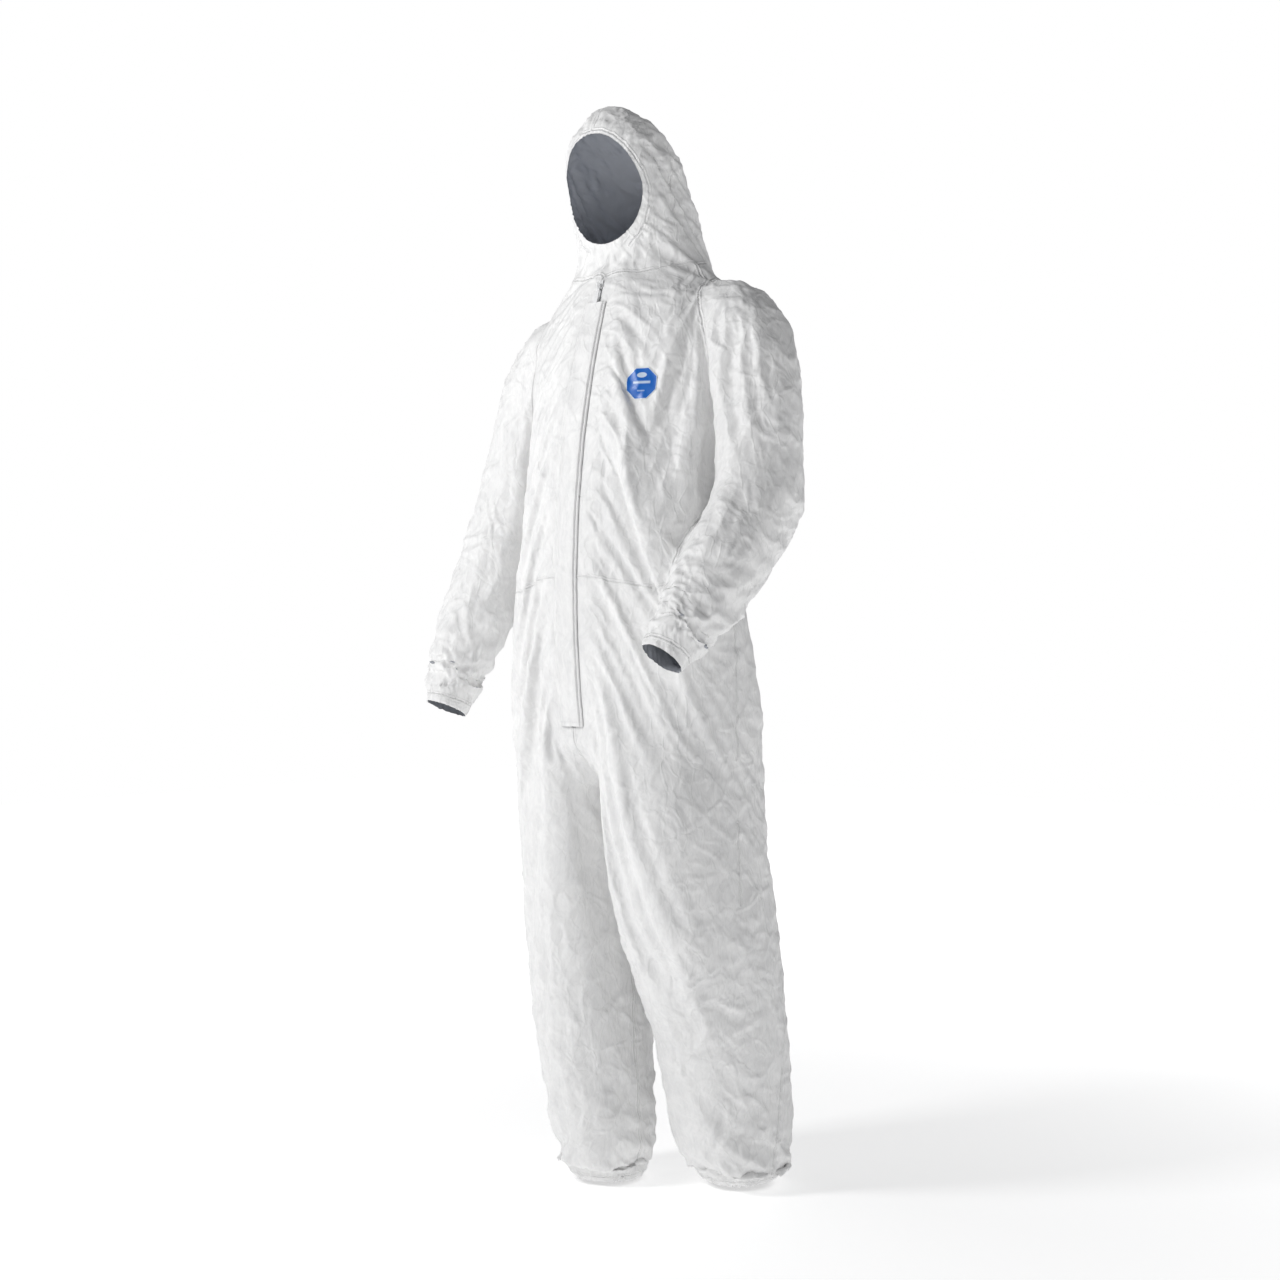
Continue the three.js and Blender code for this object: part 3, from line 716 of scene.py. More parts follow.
class Shader:
    """A material under construction."""

    def __init__(self, name: str) -> None:
        """Starts an empty node material with its Principled shader and output.

        Args:
            name: The material's name.
        """
        self.material = bpy.data.materials.new(name)
        self.material.use_nodes = True
        self.tree = self.material.node_tree
        self.tree.nodes.clear()
        self.surface = self.tree.nodes.new("ShaderNodeBsdfPrincipled")
        end = self.tree.nodes.new("ShaderNodeOutputMaterial")
        self.tree.links.new(self.surface.outputs[0], end.inputs["Surface"])

    def node(self, kind: str, settings: dict, inputs: dict, output: str | int = 0) -> Value:
        """Adds a node.

        Args:
            kind: The node's type.
            settings: Its properties, and a ramp's stops under "stops".
            inputs: A value, a link or a constant for each named or numbered socket.
            output: The output wanted.

        Returns:
            The output as a value.
        """
        made = self.tree.nodes.new(kind)
        for key, setting in settings.items():
            if key == "stops":
                ramp_data = made.color_ramp
                while len(ramp_data.elements) < len(setting):
                    ramp_data.elements.new(0.5)
                for element, (place, color) in zip(ramp_data.elements, setting):
                    element.position = place
                    element.color = (*color, 1)
            else:
                setattr(made, key, setting)
        for key, item in inputs.items():
            socket = made.inputs[key]
            source = item.socket if isinstance(item, Value) else item
            if isinstance(source, bpy.types.NodeSocket):
                self.tree.links.new(source, socket)
            else:
                socket.default_value = source
        return Value(self, made.outputs[output])

    def place(self) -> Value:
        """Object coordinates in metres."""
        return self.node("ShaderNodeTexCoord", {}, {}, "Object")

    def attribute(self, name: str) -> Value:
        """A value stored on the mesh."""
        return self.node("ShaderNodeAttribute", {"attribute_name": name}, {}, "Fac")

    def stretched(self, vector: Value, scale: tuple[float, float, float]) -> Value:
        """Coordinates multiplied along each axis."""
        return self.node("ShaderNodeVectorMath", {"operation": "MULTIPLY"}, {0: vector, 1: scale})

    def noise(self, vector: Value, scale: float, detail: float = 2, distortion: float = 0) -> Value:
        """Noise from 0 to 1."""
        inputs = {"Vector": vector, "Scale": scale, "Detail": detail, "Distortion": distortion}
        return self.node("ShaderNodeTexNoise", {}, inputs)

    def drifted(self, vector: Value, scale: float, amount: float) -> Value:
        """Coordinates pushed about by noise.

        Args:
            vector: The coordinates.
            scale: The noise's scale.
            amount: The largest push, in metres.

        Returns:
            The moved coordinates.
        """
        inputs = {"Vector": vector, "Scale": scale, "Detail": 2.0}
        drift = self.node("ShaderNodeTexNoise", {}, inputs, "Color")
        part = {0: drift, 1: (amount,) * 3, 2: vector}
        return self.node("ShaderNodeVectorMath", {"operation": "MULTIPLY_ADD"}, part)

    def folds(self, vector: Value, scale: float) -> Value:
        """Thin lines like sharp creases, 1 on the line."""
        settings = {"feature": "DISTANCE_TO_EDGE"}
        edge = self.node("ShaderNodeTexVoronoi", settings, {"Vector": vector, "Scale": scale})
        return 1 - edge.step(0, 0.14)

    def blend(self, share: Value | float, first: tuple | Value, second: tuple | Value) -> Value:
        """A colour between two others.

        Args:
            share: How much of the second colour there is.
            first: A colour.
            second: A colour.

        Returns:
            The mixed colour.
        """
        def color(item: tuple | Value) -> tuple | Value:
            """A colour with its alpha, or the link itself."""
            return item if isinstance(item, Value) else (*item, 1)

        inputs = {0: share, 6: color(first), 7: color(second)}
        return self.node("ShaderNodeMix", {"data_type": "RGBA"}, inputs, 2)

    def bump(self, height: Value, distance: float) -> Value:
        """A normal from a height in units of distance."""
        return self.node("ShaderNodeBump", {}, {"Height": height, "Distance": distance}, "Normal")

    def finish(self, **sockets: "Value | float | tuple") -> bpy.types.Material:
        """Sets the Principled shader's sockets, named with underscores for spaces.

        Args:
            **sockets: A value or a constant for each socket.

        Returns:
            The finished material.
        """
        for key, item in sockets.items():
            socket = self.surface.inputs[key.replace("_", " ").title().replace("Ior", "IOR")]
            if isinstance(item, Value):
                self.tree.links.new(item.socket, socket)
            else:
                socket.default_value = item
        return self.material


# ---- finishes -----------------------------------------------------------------------------------
@dataclass(frozen=True)
class Nonwoven:
    """Flash-spun nonwoven: silky, faintly clouded with fibre, and creased like paper."""

    name: str
    bright: tuple[float, float, float] = (0.875, 0.873, 0.868)
    deep: tuple[float, float, float] = (0.755, 0.755, 0.757)
    rough: float = 0.52
    crease: float = 1.0

    def material(self) -> bpy.types.Material:
        """The fabric's material, with its seams drawn from the distance stored on the mesh.

        Returns:
            Cloudy white fabric with paper creases.
        """
        s = Shader(self.name)
        place = s.place()
        swirl = s.drifted(place, 14, 0.05)
        fibre = s.noise(s.stretched(swirl, (1.0, 1.0, 0.35)), 260, 6, 0.6)
        cloud = s.noise(swirl, 22, 4, 0.4)
        wisps = s.noise(s.stretched(swirl, (1.0, 1.0, 0.22)), 90, 5, 1.2)
        paper = s.folds(s.drifted(place, 9, 0.09), 17)
        small = s.folds(s.drifted(s.stretched(place, (1.0, 1.0, 0.6)), 30, 0.03), 46)
        gap = s.attribute("seam_gap")
        groove = gap.line(1.1)
        welt = (gap - 2.6).line(2.0)
        pucker = gap.line(14) * s.noise(place, 150, 2)
        tone = (cloud - 0.5) * 0.9 + (wisps - 0.5) * 1.1 + (fibre - 0.5) * 0.8 + 0.42
        shade = s.blend(tone.step(0, 1), self.bright, self.deep)
        color = s.blend(groove * 0.16, shade, self.deep)
        height = (
            (fibre - 0.5) * 0.16
            + (wisps - 0.5) * 0.30
            + (paper * 0.75 + small * 0.32) * self.crease
            + pucker * 0.9
            + welt * 0.5
            - groove * 0.6
        )
        rough = (wisps - 0.5) * 0.25 + self.rough
        normal = s.bump(height, 0.0011)
        return s.finish(base_color=color, roughness=rough, normal=normal, sheen_weight=0.12)


@dataclass(frozen=True)
class PaintedShadeInside:
    """Painted shade: a dim grey for the inside of the fabric, whose real inside is white and lies in
    shade.
    """

    name: str
    color: tuple[float, float, float] = (0.30, 0.315, 0.35)
    pale: tuple[float, float, float] = (0.34, 0.355, 0.39)

    def material(self) -> bpy.types.Material:
        """A matt grey with faint cloudy fibre, painted shade for the white fabric's inside.

        Returns:
            The material.
        """
        s = Shader(self.name)
        place = s.place()
        cloud = s.noise(s.drifted(place, 14, 0.05), 26, 4, 0.4)
        fibre = s.noise(place, 320, 4)
        color = s.blend(cloud.step(0.3, 0.7), self.color, self.pale)
        normal = s.bump(fibre, 0.00015)
        return s.finish(base_color=color, roughness=0.8 + (fibre - 0.5) * 0.2, normal=normal)


@dataclass(frozen=True)
class Ribbed:
    """Woven tape or covered elastic, with fine ribs along one axis."""

    name: str
    color: tuple[float, float, float]
    pitch: float = 0.0011
    rough: float = 0.7

    def material(self) -> bpy.types.Material:
        """A pale tape with ribs and slight soiling, darker in the hollows between the ribs as painted
        shade.

        Returns:
            The material.
        """
        s = Shader(self.name)
        place = s.place()
        scale = 1 / self.pitch / (2 * math.pi)
        settings = {"bands_direction": "Z"}
        inputs = {"Vector": place, "Scale": scale, "Distortion": 0.6, "Detail": 1.0}
        ribs = s.node("ShaderNodeTexWave", settings, inputs, "Fac")
        cloud = s.noise(place, 60, 3)
        dark = tuple(part * 0.86 for part in self.color)
        # Darker in the rib hollows, where the bump sinks: painted shade; the cloudy part is slight
        # soiling.
        color = s.blend((1 - ribs) * 0.4 + (cloud - 0.5) * 0.5 + 0.2, self.color, dark)
        normal = s.bump(ribs, 0.0002)
        return s.finish(base_color=color, roughness=self.rough + (cloud - 0.5) * 0.2, normal=normal)


@dataclass(frozen=True)
class Plastic:
    """Moulded white plastic of the zip."""

    name: str
    color: tuple[float, float, float]
    rough: float = 0.34

    def material(self) -> bpy.types.Material:
        """A smooth plastic, slightly uneven.

        Returns:
            The material.
        """
        s = Shader(self.name)
        place = s.place()
        cloud = s.noise(place, 300, 3)
        dark = tuple(part * 0.9 for part in self.color)
        color = s.blend(cloud.step(0.35, 0.75), self.color, dark)
        normal = s.bump(s.noise(place, 1500, 2), 0.00005)
        return s.finish(base_color=color, roughness=self.rough + (cloud - 0.5) * 0.18, normal=normal)


@dataclass(frozen=True)
class BadgePrint:
    """A printed sticker: blue inside a pale border, with plain bars."""

    name: str
    blue: tuple[float, float, float] = (0.004, 0.125, 0.52)
    pale: tuple[float, float, float] = (0.72, 0.82, 0.92)

    def material(self) -> bpy.types.Material:
        """The print, read from the badge's own map.

        Returns:
            The material.
        """
        s = Shader(self.name)
        across = s.attribute("badge_across")
        up = s.attribute("badge_up")
        rim = s.attribute("badge_rim")
        bars = (up - 0.06).line(0.13) * (1 - abs(across).step(0.50, 0.56))
        small = (up + 0.44).line(0.07) * (1 - abs(across).step(0.20, 0.25))
        oval = (abs(up - 0.5).math("POWER", 2) * 30 + abs(across).math("POWER", 2) * 9).step(0.6, 0.9)
        grain = s.noise(s.place(), 700, 3)
        print_mask = (bars * 0.85).at_least(small * 0.5).at_least((1 - oval) * 0.85)
        inner = s.blend(print_mask, self.blue, self.pale)
        color = s.blend(rim.step(0.965, 0.98), inner, self.pale)
        rough = 0.36 + (grain - 0.5) * 0.2
        return s.finish(base_color=color, roughness=rough, normal=s.bump(grain, 0.00006))


FABRIC = Nonwoven("white nonwoven")
ELASTIC = Nonwoven("gathered elastic hem", rough=0.6, crease=1.4)
FLAP_FABRIC = Nonwoven("flap nonwoven", crease=0.6)
# The grey insides are painted shade: the fabric is white inside, and the grey stands in for the shade
# that falls there; the hood's grey is paler.
PAINTED_SHADE_INSIDE = PaintedShadeInside("grey inside")
HOOD_PAINTED_SHADE_INSIDE = PaintedShadeInside("grey inside of the hood", (0.50, 0.52, 0.565), (0.53, 0.55, 0.595))
TAPE = Ribbed("zip tape", (0.78, 0.79, 0.80))
TEETH = Plastic("zip plastic", (0.86, 0.865, 0.87))
THREAD = Ribbed("sewing thread", (0.83, 0.835, 0.84), pitch=0.0006)
LABEL = Ribbed("care label cloth", (0.84, 0.84, 0.82), pitch=0.0005)
BADGE = BadgePrint("badge print")


@dataclass
class Palette:
    """Makes each finish once."""

    made: dict[str, bpy.types.Material] = field(default_factory=dict)

    def of(self, finish: Nonwoven | PaintedShadeInside | Ribbed | Plastic | BadgePrint) -> bpy.types.Material:
        """The material of a finish."""
        if finish.name not in self.made:
            self.made[finish.name] = finish.material()
        return self.made[finish.name]


# ---- cutting the skin into panels -----------------------------------------------------------------
class Slot(Enum):
    """The record's material slots."""

    FABRIC = "white_nonwoven"
    ELASTIC = "white_elastic"
    TAPE = "zip_tape"
    PLASTIC = "zip_plastic"
    BADGE = "blue_badge"
    LABEL = "care_label"


@dataclass
class PanelCut:
    """The creased skin, cut into panels where the nearest CAD node changes."""

    labels: dict[str, tuple[str, ...]]
    near: float = 0.03
    gusset_reach: float = 0.08
    points: np.ndarray = field(init=False)
    rest: np.ndarray = field(init=False)
    triangles: np.ndarray = field(init=False)
    panel: np.ndarray = field(init=False)
    seams: dict[int, tuple[int, int]] = field(init=False)

    def distances(self, rest: np.ndarray) -> np.ndarray:
        """How far each point at rest is from each panel's nodes, with the openings last.

        Args:
            rest: Places on the form before it was creased.

        Returns:
            A row for each place and a column for each panel.
        """
        table = np.full((len(rest), len(self.labels) + 1), 1.0)
        for column, nodes in enumerate(self.labels.values()):
            tree = Tracer(nodes).tree
            corners = np.array([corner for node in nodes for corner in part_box(node)])
            inside = (rest > corners.min(axis=0) - self.near) & (rest < corners.max(axis=0) + self.near)
            for index in np.nonzero(inside.all(axis=1))[0]:
                found = tree.find_nearest(Vector(rest[index]), 1.0)
                if found[0]:
                    table[index, column] = found[3]
        self.claim_gusset(rest, table)
        table[:, -1] = self.opening(rest, table)
        return table

    def claim_gusset(self, rest: np.ndarray, table: np.ndarray) -> None:
        """Gives the crotch gusset the fabric under it, which its neighbours' solids wrap.

        Args:
            rest: Places on the form before it was creased.
            table: The distances, whose gusset column is lowered there.
        """
        low, high = (np.array(corner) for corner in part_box("crotch_gusset"))
        centre, half = (low + high) / 2, (high - low) / 2
        under = (np.abs(rest[:, :2] - centre[:2]) < half[:2] * 0.7).all(axis=1)
        under &= np.abs(rest[:, 2] - centre[2]) < self.gusset_reach
        column = list(self.labels).index("crotch_gusset")
        table[under, column] = table[under].min(axis=1) - 0.002

    def opening(self, rest: np.ndarray, table: np.ndarray) -> np.ndarray:
        """A distance that is the least inside the face, cuff, ankle and zip openings.

        Args:
            rest: Places on the form before it was creased.
            table: The distances from the panels.

        Returns:
            One value for each place.
        """
        found = np.full(len(rest), 1.0)
        near = table[:, :-1].min(axis=1)

        def cut(outside: np.ndarray, where: np.ndarray) -> None:
            """Opens the skin where outside falls below zero, within a region."""
            np.copyto(found, np.minimum(found, near + outside), where=where)

        low, high = (np.array(corner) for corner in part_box("face_elastic"))
        centre, size = (low + high) / 2, (high - low) / 2 - 0.0065
        oval = np.hypot((rest[:, 0] - centre[0]) / size[0], (rest[:, 2] - centre[2]) / size[2])
        cut((oval - 1) * size[0], rest[:, 1] < centre[1] + 0.05)
        for side in SIDES:
            ankle_low, ankle_high = (np.array(corner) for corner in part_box(f"ankle_elastic_{side}"))
            by_ankle = (rest > ankle_low - 0.02).all(axis=1) & (rest < ankle_high + 0.02).all(axis=1)
            cut(rest[:, 2] - ankle_low[2] - 0.0025, by_ankle)
            cuff = f"cuff_elastic_{side}"
            along = (box_centre(cuff) - box_centre(f"lower_sleeve_{side}")).normalized()
            corners = mesh_points(frame["nodes"][cuff].data)
            end = (corners @ np.array(along)).max() - 0.0012
            cuff_low, cuff_high = corners.min(axis=0) - 0.02, corners.max(axis=0) + 0.02
            by_cuff = (rest > cuff_low).all(axis=1) & (rest < cuff_high).all(axis=1)
            cut(end - rest @ np.array(along), by_cuff)
        tape_low, tape_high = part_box("zip_tape_left")
        slot_half = -highest("chest_panel_right").x
        beyond = np.maximum(np.abs(rest[:, 0]) - slot_half, tape_low.z - 0.004 - rest[:, 2])
        beyond = np.maximum(beyond, rest[:, 2] - tape_high.z)
        cut(beyond, rest[:, 1] < box_centre("zip_tape_left").y + 0.06)
        return found

    def cut(self, form: bpy.types.Object) -> None:
        """Divides every triangle that crosses from one panel to another.

        Args:
            form: The creased form.
        """
        mesh = form.data
        mesh.calc_loop_triangles()
        triangles = np.empty(len(mesh.loop_triangles) * 3, int)
        mesh.loop_triangles.foreach_get("vertices", triangles)
        triangles = triangles.reshape(-1, 3)
        points = mesh_points(mesh)
        rest = rest_places(mesh)
        table = self.distances(rest)
        nearest = table.argmin(axis=1)
        corner = nearest[triangles]
        whole = (corner[:, 0] == corner[:, 1]) & (corner[:, 1] == corner[:, 2])
        kept, panel = [tuple(t) for t in triangles[whole]], list(corner[whole, 0])
        new_points, new_rest, made = list(points), list(rest), {}
        self.seams = {}

        def crossing(i: int, j: int) -> int:
            """The point where an edge passes from one panel to another."""
            key = (min(i, j), max(i, j))
            if key not in made:
                i, j = key
                a, b = nearest[i], nearest[j]
                first, second = table[i, b] - table[i, a], table[j, a] - table[j, b]
                share = min(0.94, max(0.06, first / max(first + second, 1e-9)))
                made[key] = len(new_points)
                new_points.append(points[i] + (points[j] - points[i]) * share)
                new_rest.append(rest[i] + (rest[j] - rest[i]) * share)
                self.seams[made[key]] = (min(a, b), max(a, b))
            return made[key]

        for triangle, labels in zip(triangles[~whole], corner[~whole]):
            if len(set(labels)) == 3:
                mids = [crossing(triangle[k], triangle[(k + 1) % 3]) for k in range(3)]
                middle = len(new_points)
                new_points.append(points[triangle].mean(axis=0))
                new_rest.append(rest[triangle].mean(axis=0))
                self.seams[middle] = (min(labels), max(labels))
                for k in range(3):
                    kept += [(triangle[k], mids[k], middle), (triangle[k], middle, mids[k - 1])]
                    panel += [labels[k]] * 2
                continue
            k = next(k for k in range(3) if labels[k] != labels[k - 1] and labels[k] != labels[k - 2])
            lone, second, third = triangle[k], triangle[(k + 1) % 3], triangle[(k + 2) % 3]
            near, far = crossing(lone, second), crossing(lone, third)
            kept += [(lone, near, far), (near, second, third), (near, third, far)]
            panel += [labels[k], labels[(k + 1) % 3], labels[(k + 1) % 3]]
        self.points, self.rest = np.array(new_points), np.array(new_rest)
        self.triangles, self.panel = np.array(kept), np.array(panel)

    def normals(self) -> np.ndarray:
        """Vertex normals over the whole skin, so that the panels meet smoothly.

        Returns:
            One unit normal for each point.
        """
        return surface_normals(self.points, self.triangles)


# ---- fine shape -----------------------------------------------------------------------------------
@dataclass
class FineFolds:
    """Gathers at the elastic edges and crisp paper creases, as moves along the normals."""

    crease: float = 0.0014
    pleat: float = 0.0021
    elastic_pleat: float = 1.45
    sizes: tuple[tuple[float, float, int], ...] = (
        (0.16, 1.5, 20),
        (0.085, 1.0, 21),
        (0.05, 0.6, 22),
        (0.026, 0.35, 23),
    )
    gathers: tuple[tuple[str, int, float], ...] = (("cuff", 13, 0.05), ("ankle", 21, 0.06))

    def creases(self, rest: np.ndarray) -> np.ndarray:
        """Sharp-edged creases of four sizes, stronger on the sleeves and lower legs.

        Args:
            rest: Places on the form before it was creased.

        Returns:
            How far each place moves out.
        """
        drift = np.stack([unit_noise(rest / 0.11, seed) for seed in (11, 12, 13)], axis=1)
        total = np.zeros(len(rest))
        for size, share, seed in self.sizes:
            place = (rest + drift * 0.02) * np.array([1, 1, 0.7]) / size
            total += share * (0.5 - np.minimum(1, np.abs(unit_noise(place, seed)) * 1.9))
        return total * self.crease * (0.75 + 0.6 * Creaser().looseness(rest))

    def gathered(self, rest: np.ndarray) -> np.ndarray:
        """Pleats that fan out from the face, the cuffs and the ankles.

        Args:
            rest: Places on the form before it was creased.

        Returns:
            How far each place moves out.
        """
        face = box_centre("face_elastic")
        half = (highest("face_elastic") - lowest("face_elastic")) / 2
        across, up = rest[:, 0] - face.x, rest[:, 2] - face.z
        oval = (np.hypot(across / half.x, up / half.z) - 1) * half.x
        fade = (1 - ramp(oval, 0.004, 0.062)) * (rest[:, 1] < face.y + 0.09) * (oval > -0.02)
        turn = np.arctan2(across, up)
        total = fade * self.pleats(turn, 23, rest, 31) * (0.9 + 0.8 * ramp(oval, 0.0, 0.02))
        for side in SIDES:
            for part, folds, reach in self.gathers:
                node = f"{part}_elastic_{side}"
                centre = box_centre(node)
                size = highest(node) - lowest(node)
                away = np.linalg.norm(rest - np.array(centre), axis=1) - max(size) / 2
                turn = np.arctan2(rest[:, 0] - centre.x, rest[:, 1] - centre.y)
                fade = 1 - ramp(away, 0.0, reach)
                pleats = self.pleats(turn, folds, rest, 32 + folds)
                total += self.elastic_pleat * fade * pleats
        return total

    def pleats(self, turn: np.ndarray, count: int, rest: np.ndarray, seed: int) -> np.ndarray:
        """Uneven waves round an opening, sharper on their crests.

        Args:
            turn: The angle of each place round the opening.
            count: How many pleats there are.
            rest: The places.
            seed: Makes the result repeatable.

        Returns:
            How far each place moves out.
        """
        uneven = unit_noise(rest / 0.045, seed)
        wave = np.sin(turn * count + 1.6 * uneven) + 0.5 * np.sin(turn * (count * 2 - 3) - 1.9 * uneven)
        height = 1 - np.abs(wave) ** 0.8
        return self.pleat * height * (0.65 + 0.45 * unit_noise(rest / 0.03, seed + 1))

    def apply(self, form: bpy.types.Object) -> None:
        """Subdivides the creased skin once and moves its points.

        Args:
            form: The creased form.
        """
        finer = form.modifiers.new("finer", "SUBSURF")
        finer.levels = finer.render_levels = 1
        settle(form)
        mesh = form.data
        rest = rest_places(mesh)
        shift = self.creases(rest) * (1 - 0.7 * Creaser().held(rest)) + self.gathered(rest)
        points = mesh_points(mesh) + mesh_normals(mesh) * shift[:, None]
        mesh.vertices.foreach_set("co", points.ravel())
        mesh.update()


# ---- pieces -----------------------------------------------------------------------------------------
def shell_mesh(
    name: str, points: np.ndarray, normals: np.ndarray, triangles: np.ndarray, thick: float, extra: dict
) -> bpy.types.Object:
    """A closed sheet of fabric from its outside surface.

    Args:
        name: The piece's name.
        points: Outside points.
        normals: Their normals, shared with the neighbouring panels.
        triangles: Faces on the outside.
        thick: The fabric's thickness, added on the inside.
        extra: Values for each outside point, stored as named attributes.

    Returns:
        The piece, with material slot 0 outside and slot 1 inside.
    """
    count = len(points)
    edges = np.concatenate([triangles[:, [0, 1]], triangles[:, [1, 2]], triangles[:, [2, 0]]])
    key = np.sort(edges, axis=1)
    order = key[:, 0].astype(np.int64) * count + key[:, 1]
    _, first, times = np.unique(order, return_index=True, return_counts=True)
    rim = edges[first[times == 1]]
    walls = np.concatenate(
        [
            np.stack([rim[:, 1], rim[:, 0], rim[:, 0] + count], axis=1),
            np.stack([rim[:, 1], rim[:, 0] + count, rim[:, 1] + count], axis=1),
        ]
    )
    faces = np.concatenate([triangles, triangles[:, ::-1] + count, walls])
    mesh = bpy.data.meshes.new(name)
    mesh.vertices.add(count * 2)
    mesh.vertices.foreach_set("co", np.concatenate([points, points - normals * thick]).ravel())
    mesh.loops.add(faces.size)
    mesh.loops.foreach_set("vertex_index", faces.ravel().astype(np.int32))
    mesh.polygons.add(len(faces))
    mesh.polygons.foreach_set("loop_start", np.arange(0, faces.size, 3, dtype=np.int32))
    inside = np.zeros(len(faces), np.int32)
    inside[len(triangles) : 2 * len(triangles)] = 1
    mesh.polygons.foreach_set("material_index", inside)
    mesh.update(calc_edges=True)
    mesh.validate()
    mesh.polygons.foreach_set("use_smooth", np.ones(len(mesh.polygons), bool))
    mesh.normals_split_custom_set_from_vertices(np.concatenate([normals, -normals]).tolist())
    for label, values in extra.items():
        stored = mesh.attributes.new(label, "FLOAT", "POINT")
        stored.data.foreach_set("value", np.concatenate([values, values]).astype(np.float32))
    made = bpy.data.objects.new(name, mesh)
    bpy.context.scene.collection.objects.link(made)
    return made


@dataclass(frozen=True)
class PanelPlan:
    """What one fabric panel stands for and how it moves."""

    name: str
    nodes: tuple[str, ...]
    bodies: tuple[str, ...]
    slot: Slot = Slot.FABRIC
    bend: Vector | None = None


TORSO_PARTS = ("chest_panel", "hip_panel", "seat_panel")


def panel_plans() -> list[PanelPlan]:
    """Every fabric panel of the suit.

    Returns:
        The panels, with the CAD nodes that each stands for.
    """
    plans = [PanelPlan(name, (name,), ("torso",)) for name in ("upper_back_panel", "crotch_gusset")]
    for side in SIDES:
        plans += [PanelPlan(f"{part}_{side}", (f"{part}_{side}",), ("torso",)) for part in TORSO_PARTS]
        plans.append(PanelPlan(f"hood_side_panel_{side}", (f"hood_side_panel_{side}",), ("hood",)))
    plans.append(PanelPlan("waist_elastic", ("waist_elastic",), ("torso",), Slot.ELASTIC))
    plans.append(PanelPlan("hood_back_panel", ("hood_back_panel",), ("hood",)))
    plans.append(PanelPlan("face_elastic", ("face_elastic",), ("hood",), Slot.ELASTIC))
    up = Vector((0, -0.2, 1)).normalized()
    plans.append(PanelPlan("neck_fold", ("neck_fold",), ("torso", "hood"), bend=up))
    for side in SIDES:
        sign = 1 if side == "left" else -1
        upper, fore = f"upper_arm_{side}", f"forearm_{side}"
        thigh, shin = f"thigh_{side}", f"shin_{side}"
        shoulder, elbow = joint_place(f"shoulder_{side}"), joint_place(f"elbow_{side}")
        cuff = box_centre(f"cuff_elastic_{side}")
        halfway = ((elbow - shoulder).normalized() + (cuff - elbow).normalized()).normalized()
        across = Vector((0.5 * sign, 0, -0.86)).normalized()
        sleeve = (f"shoulder_fold_{side}", f"upper_sleeve_{side}")
        down = Vector((0, 0, -1))
        plans += [
            PanelPlan(f"upper_sleeve_{side}", sleeve, ("torso", upper), bend=across),
            PanelPlan(f"elbow_fold_{side}", (f"elbow_fold_{side}",), (upper, fore), bend=halfway),
            PanelPlan(f"lower_sleeve_{side}", (f"lower_sleeve_{side}",), (fore,)),
            PanelPlan(f"cuff_elastic_{side}", (f"cuff_elastic_{side}",), (fore,), Slot.ELASTIC),
            PanelPlan(f"hip_fold_{side}", (f"hip_fold_{side}",), ("torso", thigh), bend=down),
            PanelPlan(f"thigh_front_{side}", (f"thigh_front_{side}",), (thigh,)),
            PanelPlan(f"thigh_back_{side}", (f"thigh_back_{side}",), (thigh,)),
            PanelPlan(f"knee_fold_{side}", (f"knee_fold_{side}",), (thigh, shin), bend=down),
            PanelPlan(f"shin_front_{side}", (f"shin_front_{side}",), (shin,)),
            PanelPlan(f"shin_back_{side}", (f"shin_back_{side}",), (shin,)),
            PanelPlan(f"ankle_elastic_{side}", (f"ankle_elastic_{side}",), (shin,), Slot.ELASTIC),
        ]
    return plans


# Painted shade grey for the inside faces of each body's panels.
PAINTED_SHADE_BY_BODY = {"hood": HOOD_PAINTED_SHADE_INSIDE, "forearm_left": PAINTED_SHADE_INSIDE, "forearm_right": PAINTED_SHADE_INSIDE, "torso": HOOD_PAINTED_SHADE_INSIDE}


